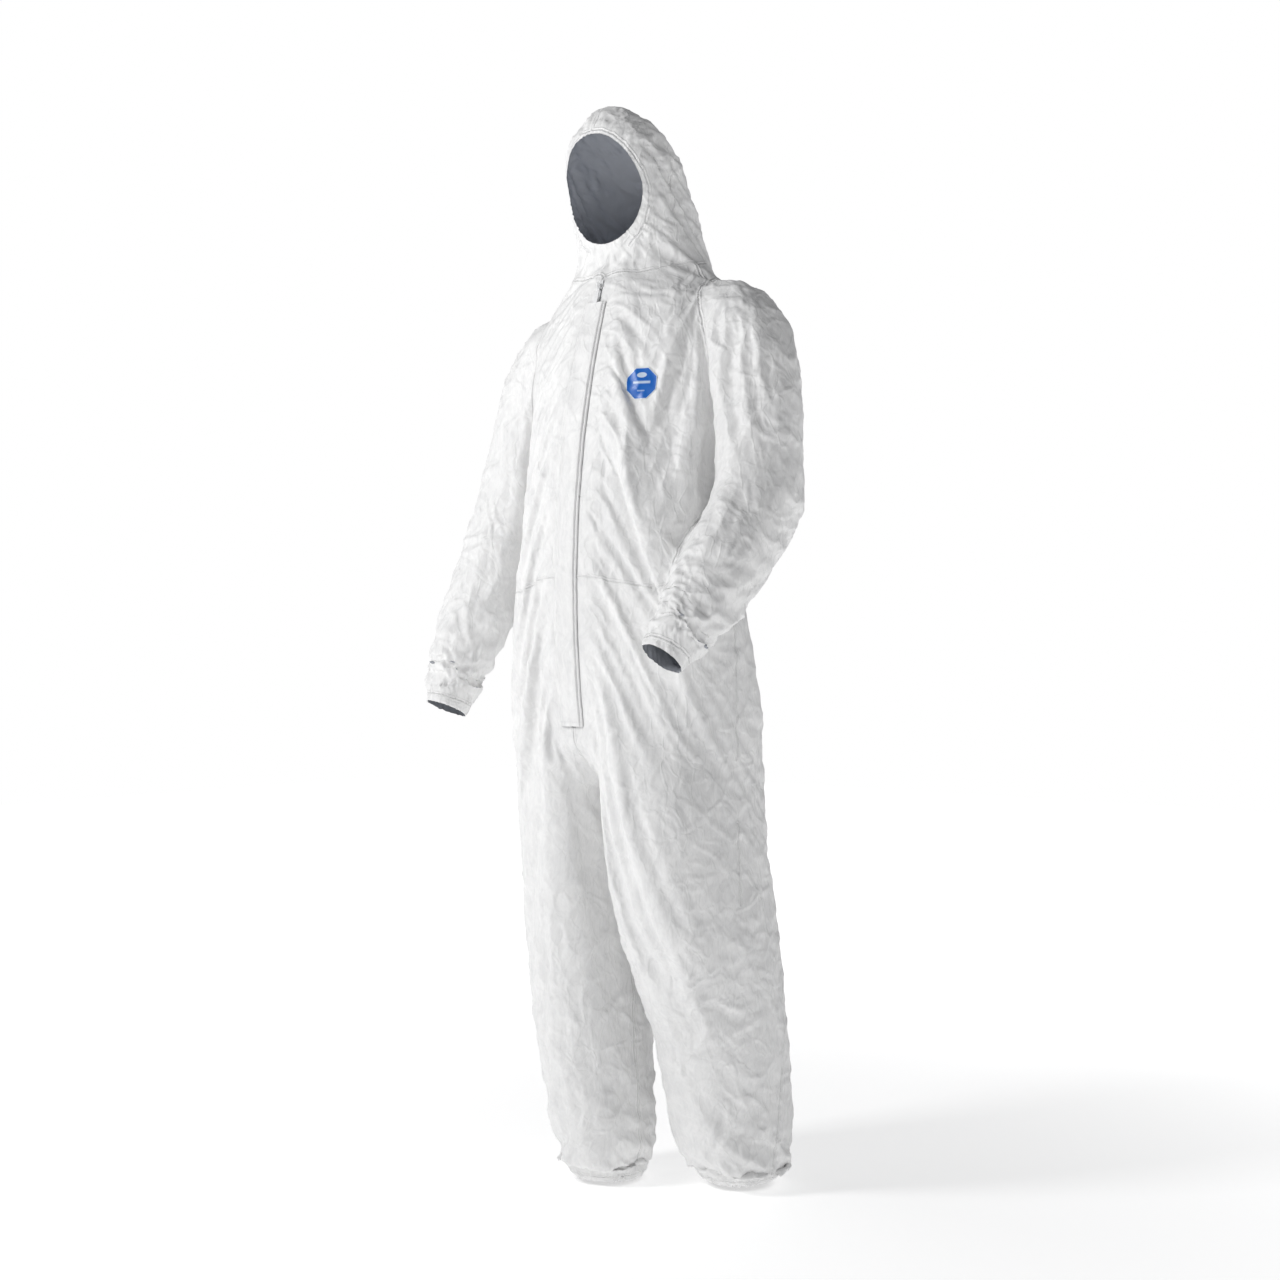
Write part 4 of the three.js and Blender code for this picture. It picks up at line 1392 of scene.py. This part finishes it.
@dataclass
class Garment:
    """The fabric panels, cut from one creased skin."""

    palette: Palette
    thick: float = 0.0003
    least_bend: float = 0.03
    cell: float = 0.03
    cut: PanelCut = field(init=False)
    plans: list[PanelPlan] = field(init=False)

    def is_seam(self, pair: tuple[int, int]) -> bool:
        """Whether two neighbouring panels are really sewn together.

        Args:
            pair: The two panels' numbers.

        Returns:
            True where a seam is drawn.
        """
        if max(pair) >= len(self.plans):
            return False
        first, second = (self.plans[i] for i in pair)
        folds = [plan for plan in (first, second) if plan.bend is not None]
        if not folds:
            return True
        leg = any(plan.name.startswith("hip_fold") for plan in folds)
        return first.bodies[0] == second.bodies[0] == "torso" and not leg

    def build(self) -> None:
        """Makes, creases and cuts the skin, and builds every panel."""
        skin = SuitSkin()
        form = skin.solid_form()
        Creaser().crease(form)
        FineFolds().apply(form)
        self.plans = panel_plans()
        self.cut = PanelCut({plan.name: plan.nodes for plan in self.plans})
        self.cut.cut(form)
        bpy.data.objects.remove(form)
        normals = self.cut.normals()
        gaps = self.seam_gaps()
        for number, plan in enumerate(self.plans):
            self.panel(number, plan, normals, gaps)

    def seam_gaps(self) -> np.ndarray:
        """The distance in millimetres from each point to the nearest sewn seam.

        Returns:
            One distance for each point, at most 100.
        """
        found = np.full(len(self.cut.points), 0.1)
        sewn = [index for index, pair in self.cut.seams.items() if self.is_seam(pair)]
        tree = KDTree(len(sewn))
        for index in sewn:
            tree.insert(Vector(self.cut.rest[index]), index)
        tree.balance()
        cells = {tuple(cell) for cell in (self.cut.rest[sewn] // self.cell).astype(int)}
        steps = list(itertools.product((-1, 0, 1), repeat=3))
        spread = {(x + i, y + j, z + k) for x, y, z in cells for i, j, k in steps}
        places = map(tuple, (self.cut.rest // self.cell).astype(int))
        near = np.array([cell in spread for cell in places])
        for index in np.nonzero(near)[0]:
            found[index] = min(0.1, tree.find(Vector(self.cut.rest[index]))[2])
        return found * 1000

    def panel(self, number: int, plan: PanelPlan, normals: np.ndarray, gaps: np.ndarray) -> None:
        """Builds one panel and fixes it to its body; a panel that bends is left in place.

        Args:
            number: The panel's place in the list.
            plan: The panel.
            normals: The skin's normals.
            gaps: The skin's distances to seams, in millimetres.
        """
        cut = self.cut
        triangles = cut.triangles[cut.panel == number]
        used, local = np.unique(triangles, return_inverse=True)
        extra = {"seam_gap": gaps[used]}
        thick = self.thick
        shell = shell_mesh(
            f"{plan.name}_fabric", cut.points[used], normals[used], local.reshape(-1, 3), thick, extra
        )
        finish = ELASTIC if plan.slot is Slot.ELASTIC else FABRIC
        shell.data.materials.append(self.palette.of(finish))
        # The inside faces get painted shade grey where their body has one.
        inside = PAINTED_SHADE_BY_BODY.get(plan.bodies[-1], finish)
        shell.data.materials.append(self.palette.of(inside))
        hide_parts(*plan.nodes)
        if plan.bend is None:
            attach(shell, plan.bodies[0])
        else:
            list(self.span(number, used))
            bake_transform(shell)
        log.info("%s: %s faces", shell.name, len(shell.data.polygons))

    def span(self, number: int, used: np.ndarray) -> tuple[Vector, Vector]:
        """Where a bending panel starts and ends its bend, clear of the panels that it meets.

        Args:
            number: The panel's place in the list.
            used: Its points.

        Returns:
            Points on the bend's axis for no weight and for full weight.
        """
        plan = self.plans[number]
        along = np.array(plan.bend)
        places = self.cut.points @ along
        edge: list[list[float]] = [[places[used].min()], [places[used].max()]]
        for index, pair in self.cut.seams.items():
            if number not in pair or max(pair) >= len(self.plans):
                continue
            other = self.plans[sum(pair) - number]
            if other.name == "crotch_gusset":
                continue
            shared = [end for end, body in enumerate(plan.bodies) if body in other.bodies]
            if len(shared) == 1:
                edge[shared[0]].append(places[index])
        first, last = max(edge[0]), min(edge[1])
        if last - first < self.least_bend:
            middle = (first + last) / 2
            first, last = middle - self.least_bend / 2, middle + self.least_bend / 2
        base = self.cut.points[used].mean(axis=0)
        base = base - along * (base @ along)
        return Vector(base + along * first), Vector(base + along * last)


# ---- closure, badge and label ---------------------------------------------------------------------
@dataclass
class Backing:
    """Plain fabric where a sleeve and the body touch at rest, hidden until the arm lifts."""

    palette: Palette
    depth: float = 0.008
    under: float = 0.004
    reach: float = 0.04
    tuck: int = 2
    thick: float = 0.0003
    below_shoulder: float = 0.14
    above_crotch: float = 0.03
    past_shoulder: float = 0.13
    before_cuff: float = 0.03
    no_seam: float = 100.0

    def build(self) -> None:
        """Backs the body beside the arms, and the sleeves beside the body."""
        skin = SuitSkin()
        plans = [plan for plan in panel_plans() if plan.bodies[0] == "torso"]
        whole = [f"{plan.name}_fabric" for plan in plans if "sleeve" not in plan.name]
        tube = skin.torso_tube()
        armpit = min(joint_place(f"shoulder_{side}").z for side in SIDES) - self.below_shoulder
        bottom = tube.path[1].z + self.above_crotch
        rings = [i for i, centre in enumerate(tube.sampled()) if bottom < centre.z < armpit]
        self.strip("body_backing", tube, whole, rings, "torso")
        for side in SIDES:
            tube = skin.sleeve_tube(side)
            centres = tube.sampled()
            shoulder, elbow, cuff = tube.path[1], tube.path[3], tube.path[5]
            turn = min(range(len(centres)), key=lambda i: (centres[i] - elbow).length)
            parts = ("upper_sleeve", "elbow_fold", "lower_sleeve", "cuff_elastic")
            own = [f"{part}_{side}_fabric" for part in parts]
            from_shoulder = [(centre - shoulder).length for centre in centres]
            from_cuff = [(centre - cuff).length for centre in centres]
            above = [i for i in range(turn + 1) if from_shoulder[i] > self.past_shoulder]
            below = [i for i in range(turn, len(centres)) if from_cuff[i] > self.before_cuff]
            self.strip(f"upper_sleeve_backing_{side}", tube, own, above, f"upper_arm_{side}")
            self.strip(f"lower_sleeve_backing_{side}", tube, own, below, f"forearm_{side}")

    def strip(self, name: str, tube: TracedTube, own: list[str], rings: list[int], body: str) -> None:
        """Builds the stretch of a tube that its own fabric leaves open.

        Args:
            name: The piece's name.
            tube: The tube that the fabric follows.
            own: The panels that cover the tube.
            rings: The rings that may be backed.
            body: The body that the piece rides on.
        """
        points, faces = tube.build()
        shape = new_object(name, points, faces)
        work = bmesh.new()
        work.from_mesh(shape.data)
        bmesh.ops.recalc_face_normals(work, faces=work.faces)
        work.to_mesh(shape.data)
        work.free()
        normals = mesh_normals(shape.data)
        quads = [tuple(face.vertices) for face in shape.data.polygons if len(face.vertices) == 4]
        bpy.data.objects.remove(shape)
        sides = Tracer.sides
        allowed = set(rings)
        cover = fabric_tree(tuple(own))
        places = np.array([tuple(p) for p in points])
        inward = np.full(len(places), self.depth)
        bare = np.zeros(len(places), bool)
        for index in range(len(places)):
            if index // sides not in allowed:
                continue
            normal = Vector(normals[index])
            hit = cover.ray_cast(Vector(places[index]) - normal * self.reach, normal, 2 * self.reach)
            if hit[0]:
                inward[index] = self.reach - hit[3] + self.under
            else:
                bare[index] = True
        kept = bare.copy()
        for _ in range(self.tuck):
            touched = kept.copy()
            for quad in quads:
                if kept[list(quad)].any():
                    touched[list(quad)] = True
            kept = touched
        quads = [quad for quad in quads if kept[list(quad)].all()]
        quads = [quad for quad in quads if {i // sides for i in quad} <= allowed]
        if not quads:
            return
        sunk = places - normals * inward[:, None]
        triangles = halved(quads)
        used, local = np.unique(triangles, return_inverse=True)
        extra = {"seam_gap": np.full(len(used), self.no_seam)}
        faces = local.reshape(-1, 3)
        shell = shell_mesh(name, sunk[used], normals[used], faces, self.thick, extra)
        shell.data.materials.append(self.palette.of(FABRIC))
        shell.data.materials.append(self.palette.of(FABRIC))
        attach(shell, body)
        log.info("%s: %s faces, %s bare points", name, len(shell.data.polygons), int(bare.sum()))


@dataclass
class FrontArc:
    """The arc that the flap and the zip follow, fitted through the flap's outside."""

    heights: np.ndarray = field(init=False)
    depths: np.ndarray = field(init=False)

    def __post_init__(self) -> None:
        """Reads the flap's outermost points at each height."""
        points = np.concatenate(
            [mesh_points(frame["nodes"][node].data) for node in ("storm_flap_upper", "storm_flap_lower")]
        )
        levels = np.unique(np.round(points[:, 2], 4))
        outer = [points[np.abs(points[:, 2] - level) < 0.0009, 1].min() for level in levels]
        order = np.argsort(levels)
        self.heights, self.depths = levels[order], np.array(outer)[order]
        smooth = np.polyfit(self.heights, self.depths, 4)
        self.depths = np.polyval(smooth, self.heights)

    def at(self, height: float) -> tuple[float, float]:
        """The outside y at a height, and the lean of its normal from level in radians."""
        y = float(np.interp(height, self.heights, self.depths))
        rise = float(np.interp(height + 0.01, self.heights, self.depths))
        return y, math.atan2(rise - y, 0.01)


def small_block(name: str, size: tuple[float, float, float], bevel: float) -> bpy.types.Object:
    """A small bevelled block to be repeated along a line.

    Args:
        name: Its name.
        size: Its width, depth and height.
        bevel: The width of its bevels.

    Returns:
        The block, in the scene.
    """
    work = bmesh.new()
    bmesh.ops.create_cube(work, size=1)
    bmesh.ops.scale(work, verts=work.verts, vec=size)
    bmesh.ops.bevel(work, geom=list(work.edges), offset=bevel, segments=1, affect="EDGES")
    mesh = bpy.data.meshes.new(name)
    work.to_mesh(mesh)
    work.free()
    made = bpy.data.objects.new(name, mesh)
    bpy.context.scene.collection.objects.link(made)
    return made


@dataclass
class StormFlap:
    """The strip of fabric over the zip, sewn down along the wearer's left edge."""

    palette: Palette
    arc: FrontArc
    skin: BVHTree
    columns: int = 22
    step: float = 0.0035
    thick: float = 0.0007
    lift: float = 0.0012
    wave: float = 0.0035
    clearance: float = 0.0012
    sway: float = 0.0022
    hem: float = 0.004
    sewn: float = 0.0045
    search: float = 0.06
    stitch: tuple[float, float, float] = (0.0007, 0.0006, 0.0024)
    stitch_step: float = 0.0036
    seam_column: int = 3

    def ground(self, height: float) -> tuple[float, float]:
        """The fabric's y under the flap's two edges at a height.

        Args:
            height: The height.

        Returns:
            The y under the free edge and under the sewn edge.
        """
        low, high = lowest("storm_flap_lower"), highest("storm_flap_upper")
        found = []
        for x in (low.x, high.x):
            front = self.arc.at(height)[0]
            start = Vector((x, front - self.search, height))
            hit = self.skin.ray_cast(start, Vector((0, 1, 0)), 2 * self.search)
            found.append(hit[0].y if hit[0] else front)
        return found[0], found[1]

    def row(self, height: float) -> list[tuple[float, float, float]]:
        """One row of the flap's points, from the free edge to the sewn one.

        Args:
            height: The row's height.

        Returns:
            The points.
        """
        low, high = lowest("storm_flap_lower"), highest("storm_flap_upper")
        middle, lean = self.arc.at(height)
        free, sewn = self.ground(height)
        made = []
        for share in np.arange(self.columns) / (self.columns - 1):
            x = low.x + (high.x - low.x) * share
            edge = free + (sewn - free) * share
            bow = min(1.0, 6 * share * (1 - share))
            y = min(edge, edge + (middle - self.clearance - (free + sewn) / 2) * bow)
            loose = (1 - share) ** 1.4
            place = np.array([[x * 0.5, 0.3, height]])
            swell = unit_noise(place / 0.16, 51)[0] * 0.7 + unit_noise(place / 0.06, 52)[0] * 0.35
            crimp = unit_noise(place / np.array([[0.02, 1, 0.03]]), 53)[0] * 0.12
            out = self.lift + self.wave * (max(0.3, 0.6 + swell) * loose + crimp * (0.4 + loose))
            drift = self.sway * unit_noise(place / 0.09, 54)[0] * loose
            made.append((x + drift, y - max(0.0004, out) * math.cos(lean), height))
        return made

    def build(self) -> None:
        """Builds the flap, with a sewn edge and a free edge that stands off in waves."""
        low, high = lowest("storm_flap_lower"), highest("storm_flap_upper")
        rows = round((high.z - low.z) / self.step) + 1
        points = np.array([self.row(low.z + (high.z - low.z) * r / (rows - 1)) for r in range(rows)])
        flat = points.reshape(-1, 3)
        wide = self.columns
        corners = [(r * wide + c, (r + 1) * wide + c) for r in range(rows - 1) for c in range(wide - 1)]
        quads = [(below, below + 1, above + 1, above) for below, above in corners]
        triangles = halved(quads)
        normals = surface_normals(flat, triangles)
        seam = np.abs(high.x - self.sewn - flat[:, 0])
        in_from_edge = flat[:, 0] - low.x
        hem = np.where(in_from_edge < 3 * self.hem, np.abs(in_from_edge - self.hem), 0.1)
        gaps = np.minimum(seam, hem) * 1000
        flap = shell_mesh("storm_flap", flat, normals, triangles, self.thick, {"seam_gap": gaps})
        flap.data.materials.append(self.palette.of(FLAP_FABRIC))
        # The flap's underside is painted shade grey.
        flap.data.materials.append(self.palette.of(PAINTED_SHADE_INSIDE))
        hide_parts("storm_flap_upper", "storm_flap_lower")
        split = lowest("storm_flap_upper")
        top = Vector((split.x, split.y, (split.z + high.z) / 2 + 0.05))
        ends = (split - Vector((0, 0, 0.04)), Vector((split.x, split.y, top.z)))
        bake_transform(flap)
        self.stitches(points, *ends)
        size = (high.x - low.x, self.length(low.z, high.z))
        log.info("storm_flap: %.3f by %.3f m", *size)

    def stitches(self, points: np.ndarray, start: Vector, end: Vector) -> None:
        """Sews the flap down: a row along the sewn edge and one across the bottom.

        Args:
            points: The flap's grid of points, from the bottom up and from the free edge.
            start: Meant as where the torso's share of the flap ends; not used.
            end: Meant as where the flap moves wholly on its own; not used.
        """
        stitch = small_block("stitch", self.stitch, 0.0002)
        column = self.columns - self.seam_column
        upright = points[2:, column].copy()
        across = points[2, 1:column].copy()
        for name, row in (("flap_side_stitches", upright), ("flap_end_stitches", across)):
            row[:, 1] -= self.thick * 0.5
            line = edge_line(name, row.tolist())
            repeat_along(line, stitch, self.stitch_step, self.palette.of(THREAD))
            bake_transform(line)
        bpy.data.objects.remove(stitch)

    def length(self, low: float, high: float) -> float:
        """The flap's length along the front arc."""
        heights = np.linspace(low, high, 60)
        depths = np.array([self.arc.at(h)[0] for h in heights])
        return float(np.hypot(np.diff(heights), np.diff(depths)).sum())


@dataclass
class Badge:
    """A thin octagonal sticker that lies on the left chest."""

    palette: Palette
    skin: BVHTree
    rings: int = 12
    around: int = 48
    lift: float = 0.0007
    search: float = 0.08
    thick: float = 0.0005

    def build(self) -> None:
        """Lays an octagon on the fabric, facing the way the CAD's badge faces."""
        low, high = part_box("chest_badge")
        centre = (low + high) / 2
        eighth = math.pi / 8
        radius = (high.z - low.z) / 2 / math.cos(eighth)
        turn = math.acos(min(1.0, (high.x - low.x) / (high.z - low.z)))
        out = Vector((math.sin(turn), -math.cos(turn), 0))
        across = Vector((math.cos(turn), math.sin(turn), 0))
        around = self.around
        points, local = [], []
        for r in range(self.rings + 1):
            for k in range(around if r else 1):
                angle = 2 * math.pi * k / around
                sector = (angle + eighth) % (2 * eighth) - eighth
                reach = radius * math.cos(eighth) / math.cos(sector) * r / self.rings
                u, v = math.cos(angle) * reach, math.sin(angle) * reach
                start = centre + across * u + Vector((0, 0, v)) + out * self.search
                hit = self.skin.ray_cast(start, -out, 2.5 * self.search)
                fabric = hit[0] if hit[0] else start - out * self.search
                points.append(fabric + out * self.lift)
                local.append((u / radius, v / radius, r / self.rings))
        ground = np.array([tuple(p) for p in points])
        level = ground @ np.array(out)
        rise = np.maximum(level, self.smoothed(level, around)) - level
        places = ground + rise[:, None] * np.array(out)
        faces = [(0, 1 + k, 1 + (k + 1) % around) for k in range(around)]
        for r in range(1, self.rings):
            for k in range(around):
                first = 1 + (r - 1) * around
                a, b = first + k, first + (k + 1) % around
                faces += [(a, a + around, b + around), (a, b + around, b)]
        triangles = np.array(faces)
        normals = surface_normals(places, triangles)
        if (normals @ np.array(out)).mean() < 0:
            triangles, normals = triangles[:, ::-1], -normals
        values = np.array(local)
        extra = {"badge_across": values[:, 0], "badge_up": values[:, 1], "badge_rim": values[:, 2]}
        badge = shell_mesh("badge", places, normals, triangles, self.thick, extra)
        badge.data.materials.append(self.palette.of(BADGE))
        badge.data.materials.append(self.palette.of(BADGE))
        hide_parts("chest_badge")
        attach(badge, "torso")
        log.info("badge: %s faces", len(badge.data.polygons))

    def smoothed(self, level: np.ndarray, around: int) -> np.ndarray:
        """Evens out the fabric's finest creases, which a stiff sticker bridges.

        Args:
            level: How far out each point of the badge lies.
            around: How many points each ring has.

        Returns:
            The evened distances.
        """
        level = level.copy()
        body = level[1:].reshape(self.rings, around)
        for _ in range(10):
            wide = np.concatenate([np.full((1, around), level[0]), body, body[-1:]])
            rows = (wide[:-2] + 2 * wide[1:-1] + wide[2:]) / 4
            body = rows * 0.5 + (np.roll(rows, 1, 1) + np.roll(rows, -1, 1)) / 4
            level[0] = body[0].mean()
        return np.concatenate([level[:1], body.ravel()])


@dataclass
class ZipTeeth:
    """The coil of teeth in the slot between the front panels, made as a row along a path."""

    palette: Palette
    arc: FrontArc
    pitch: float = 0.0022
    tooth: tuple[float, float, float] = (0.0022, 0.0016, 0.0011)
    bevel: float = 0.0003
    end_gap: float = 0.002
    path_points: int = 40

    def row(self, side: str) -> bpy.types.Object:
        """A row of teeth along one tape.

        Args:
            side: The wearer's left or right.

        Returns:
            A line object for the teeth to follow.
        """
        low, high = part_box(f"zip_teeth_{side}")
        shift = self.pitch / 2 if side == "left" else 0.0
        heights = np.linspace(low.z + self.end_gap, high.z - self.end_gap, self.path_points)
        x = (low.x + high.x) / 2
        behind = self.behind(side)
        path = [(x, self.arc.at(h)[0] + behind, h + shift) for h in heights]
        return edge_line(f"zip_teeth_{side}_row", path)

    def behind(self, side: str) -> float:
        """How far the teeth's middle lies behind the flap's outside."""
        points = mesh_points(frame["nodes"][f"zip_teeth_{side}"].data)
        return float(np.mean([p[1] - self.arc.at(p[2])[0] for p in points]))

    def build(self) -> None:
        """Builds both rows with a Geometry Nodes tree and fixes them to the torso."""
        tooth = small_block("tooth", self.tooth, self.bevel)
        for side in SIDES:
            line = self.row(side)
            repeat_along(line, tooth, self.pitch, self.palette.of(TEETH))
            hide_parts(f"zip_teeth_{side}")
            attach(line, "torso")
            log.info("%s: %s faces", line.name, len(line.data.polygons))
        bpy.data.objects.remove(tooth)


def repeat_tree(name: str) -> bpy.types.NodeTree:
    """A tree that places a shape at even steps along the edges of a mesh.

    Args:
        name: The tree's name.

    Returns:
        A tree with inputs for the shape, the step, the size's spread and the material.
    """
    tree = bpy.data.node_groups.new(name, "GeometryNodeTree")
    sockets = tree.interface
    sockets.new_socket("Geometry", in_out="INPUT", socket_type="NodeSocketGeometry")
    sockets.new_socket("Shape", in_out="INPUT", socket_type="NodeSocketObject")
    sockets.new_socket("Step", in_out="INPUT", socket_type="NodeSocketFloat")
    sockets.new_socket("Spread", in_out="INPUT", socket_type="NodeSocketFloat")
    sockets.new_socket("Material", in_out="INPUT", socket_type="NodeSocketMaterial")
    sockets.new_socket("Geometry", in_out="OUTPUT", socket_type="NodeSocketGeometry")
    add, link = tree.nodes.new, tree.links.new
    start, end = add("NodeGroupInput"), add("NodeGroupOutput")
    curve, even = add("GeometryNodeMeshToCurve"), add("GeometryNodeCurveToPoints")
    shape, place = add("GeometryNodeObjectInfo"), add("GeometryNodeInstanceOnPoints")
    random, real = add("FunctionNodeRandomValue"), add("GeometryNodeRealizeInstances")
    paint, low, high = add("GeometryNodeSetMaterial"), add("ShaderNodeMath"), add("ShaderNodeMath")
    even.mode = "LENGTH"
    shape.inputs["As Instance"].default_value = True
    random.data_type = "FLOAT"
    random.inputs["Seed"].default_value = 7
    low.operation, high.operation = "SUBTRACT", "ADD"
    low.inputs[0].default_value = high.inputs[0].default_value = 1
    link(start.outputs["Geometry"], curve.inputs["Mesh"])
    link(curve.outputs["Curve"], even.inputs["Curve"])
    link(start.outputs["Step"], even.inputs["Length"])
    link(start.outputs["Shape"], shape.inputs["Object"])
    link(start.outputs["Spread"], low.inputs[1])
    link(start.outputs["Spread"], high.inputs[1])
    link(low.outputs[0], random.inputs[2])
    link(high.outputs[0], random.inputs[3])
    link(even.outputs["Points"], place.inputs["Points"])
    link(shape.outputs["Geometry"], place.inputs["Instance"])
    link(even.outputs["Rotation"], place.inputs["Rotation"])
    link(random.outputs[1], place.inputs["Scale"])
    link(place.outputs["Instances"], real.inputs["Geometry"])
    link(real.outputs["Geometry"], paint.inputs["Geometry"])
    link(start.outputs["Material"], paint.inputs["Material"])
    link(paint.outputs["Geometry"], end.inputs["Geometry"])
    return tree


def repeat_along(
    line: bpy.types.Object,
    shape: bpy.types.Object,
    step: float,
    material: bpy.types.Material,
    spread: float = 0.0,
) -> None:
    """Turns a line object into copies of a shape along its edges.

    Args:
        line: A mesh of edges.
        shape: What is repeated, its length along Z.
        step: The distance between copies.
        material: The copies' finish.
        spread: How far sizes vary, as a share.
    """
    tree = bpy.data.node_groups.get("repeat along a line") or repeat_tree("repeat along a line")
    modifier = line.modifiers.new("repeat", "NODES")
    modifier.node_group = tree
    names = {item.name: item.identifier for item in tree.interface.items_tree if item.in_out == "INPUT"}
    modifier[names["Shape"]] = shape
    modifier[names["Step"]] = step
    modifier[names["Spread"]] = spread
    modifier[names["Material"]] = material
    settle(line)
    line.data.polygons.foreach_set("use_smooth", np.zeros(len(line.data.polygons), bool))


@dataclass
class SmallParts:
    """The CAD's own small parts, which stay as they are and get their finishes."""

    palette: Palette

    def build(self) -> None:
        """Gives the tapes, stops, slider, pull and care label their finishes."""
        for name in ("zip_tape_left", "zip_tape_right"):
            self.dress(name, TAPE)
        stops = ("zip_top_stop_left", "zip_top_stop_right", "zip_bottom_stop")
        for name in (*stops, "zip_slider", "zip_pull_tab"):
            self.dress(name, TEETH)
        self.dress("care_label", LABEL)

    def dress(self, name: str, finish: Ribbed | Plastic) -> None:
        """Assigns one node its finish.

        Args:
            name: The CAD node.
            finish: Its finish.
        """
        node = frame["nodes"][name]
        node.data.materials.clear()
        node.data.materials.append(self.palette.of(finish))


# ---- studio ---------------------------------------------------------------------------------------
@dataclass(frozen=True)
class Lamp:
    """A soft area light, placed about the body's middle."""

    name: str
    right: float
    near: float
    up: float
    size: float
    power: float


@dataclass
class Studio:
    """Camera, floor and lights."""

    azimuth: float = 40.0
    distance: float = 3.0
    eye: float = -0.57
    lens: float = 52.5
    glow_color: tuple[float, float, float, float] = (0.97, 0.98, 1, 1)
    glow_strength: float = 0.21
    floor_half: float = 7.0
    lamps: tuple[Lamp, ...] = (
        Lamp("key", -2.5, 1.0, 1.5, 0.6, 46.0),
        Lamp("left edge", -2.0, -0.8, 0.4, 1.6, 5.0),
        Lamp("right edge", 2.2, -0.9, 0.6, 1.2, 5.0),
    )

    def build(self) -> None:
        """Sets up the view and the light."""
        scene = bpy.context.scene
        turn = math.radians(self.azimuth)
        near = Vector((math.sin(turn), -math.cos(turn), 0))
        right = Vector((math.cos(turn), math.sin(turn), 0))
        middle = Vector((0, 0, self.eye))
        camera = bpy.data.objects.new("camera", bpy.data.cameras.new("camera"))
        camera.data.lens = self.lens
        camera.data.sensor_width = 36
        camera.location = middle + near * self.distance
        camera.rotation_euler = (math.pi / 2, 0, turn)
        scene.collection.objects.link(camera)
        scene.camera = camera
        for lamp in self.lamps:
            light = bpy.data.lights.new(lamp.name, "AREA")
            light.energy = lamp.power
            light.size = lamp.size
            made = bpy.data.objects.new(lamp.name, light)
            made.location = middle + right * lamp.right + near * lamp.near + Vector((0, 0, lamp.up))
            made.rotation_euler = (middle - made.location).to_track_quat("-Z", "Y").to_euler()
            scene.collection.objects.link(made)
        self.world()
        self.floor()
        scene.view_settings.view_transform = "Standard"

    def world(self) -> None:
        """An even pale surround, white where it is seen."""
        world = bpy.data.worlds.new("surround")
        bpy.context.scene.world = world
        world.use_nodes = True
        tree = world.node_tree
        tree.nodes.clear()
        add, link = tree.nodes.new, tree.links.new
        path, mix = add("ShaderNodeLightPath"), add("ShaderNodeMixShader")
        end = add("ShaderNodeOutputWorld")
        glow, seen = add("ShaderNodeBackground"), add("ShaderNodeBackground")
        glow.inputs["Color"].default_value = self.glow_color
        glow.inputs["Strength"].default_value = self.glow_strength
        seen.inputs["Color"].default_value = (1, 1, 1, 1)
        link(path.outputs["Is Camera Ray"], mix.inputs["Fac"])
        link(glow.outputs[0], mix.inputs[1])
        link(seen.outputs[0], mix.inputs[2])
        link(mix.outputs[0], end.inputs["Surface"])

    def floor(self) -> None:
        """A pale floor just under the ankles, which glows: painted light, dimmer near the middle under
        the suit and full white from 3 m out.
        """
        level = min(lowest(f"ankle_elastic_{side}").z for side in SIDES) - 0.004
        far = self.floor_half
        corners = [(x * far, y * far, level) for x, y in ((-1, -1), (1, -1), (1, 1), (-1, 1))]
        floor = new_object("floor", corners, [(0, 1, 2, 3)])
        shader = Shader("pale floor")
        away = shader.node("ShaderNodeVectorMath", {"operation": "LENGTH"}, {0: shader.place()}, "Value")
        # Painted light: the floor's glow rises from half strength within 1 m of the middle to full white
        # from 3 m out.
        glow = shader.blend(away.step(1.0, 3.0), (0.5, 0.5, 0.5), (1, 1, 1))
        sockets = {"base_color": (0.75, 0.75, 0.75, 1), "roughness": 0.8, "emission_strength": 1.0}
        floor.data.materials.append(shader.finish(emission_color=glow, **sockets))


def main() -> None:
    """Builds the garment and reports each piece."""
    logging.basicConfig(level=logging.INFO, format="%(message)s")
    palette = Palette()
    Garment(palette).build()
    Backing(palette).build()
    arc = FrontArc()
    fronts = tuple(f"{part}_panel_{side}_fabric" for part in ("chest", "hip") for side in SIDES)
    StormFlap(palette, arc, fabric_tree(fronts)).build()
    Badge(palette, fabric_tree(("chest_panel_left_fabric",))).build()
    ZipTeeth(palette, arc).build()
    SmallParts(palette).build()
    Studio().build()


if __name__ == "__main__":
    main()
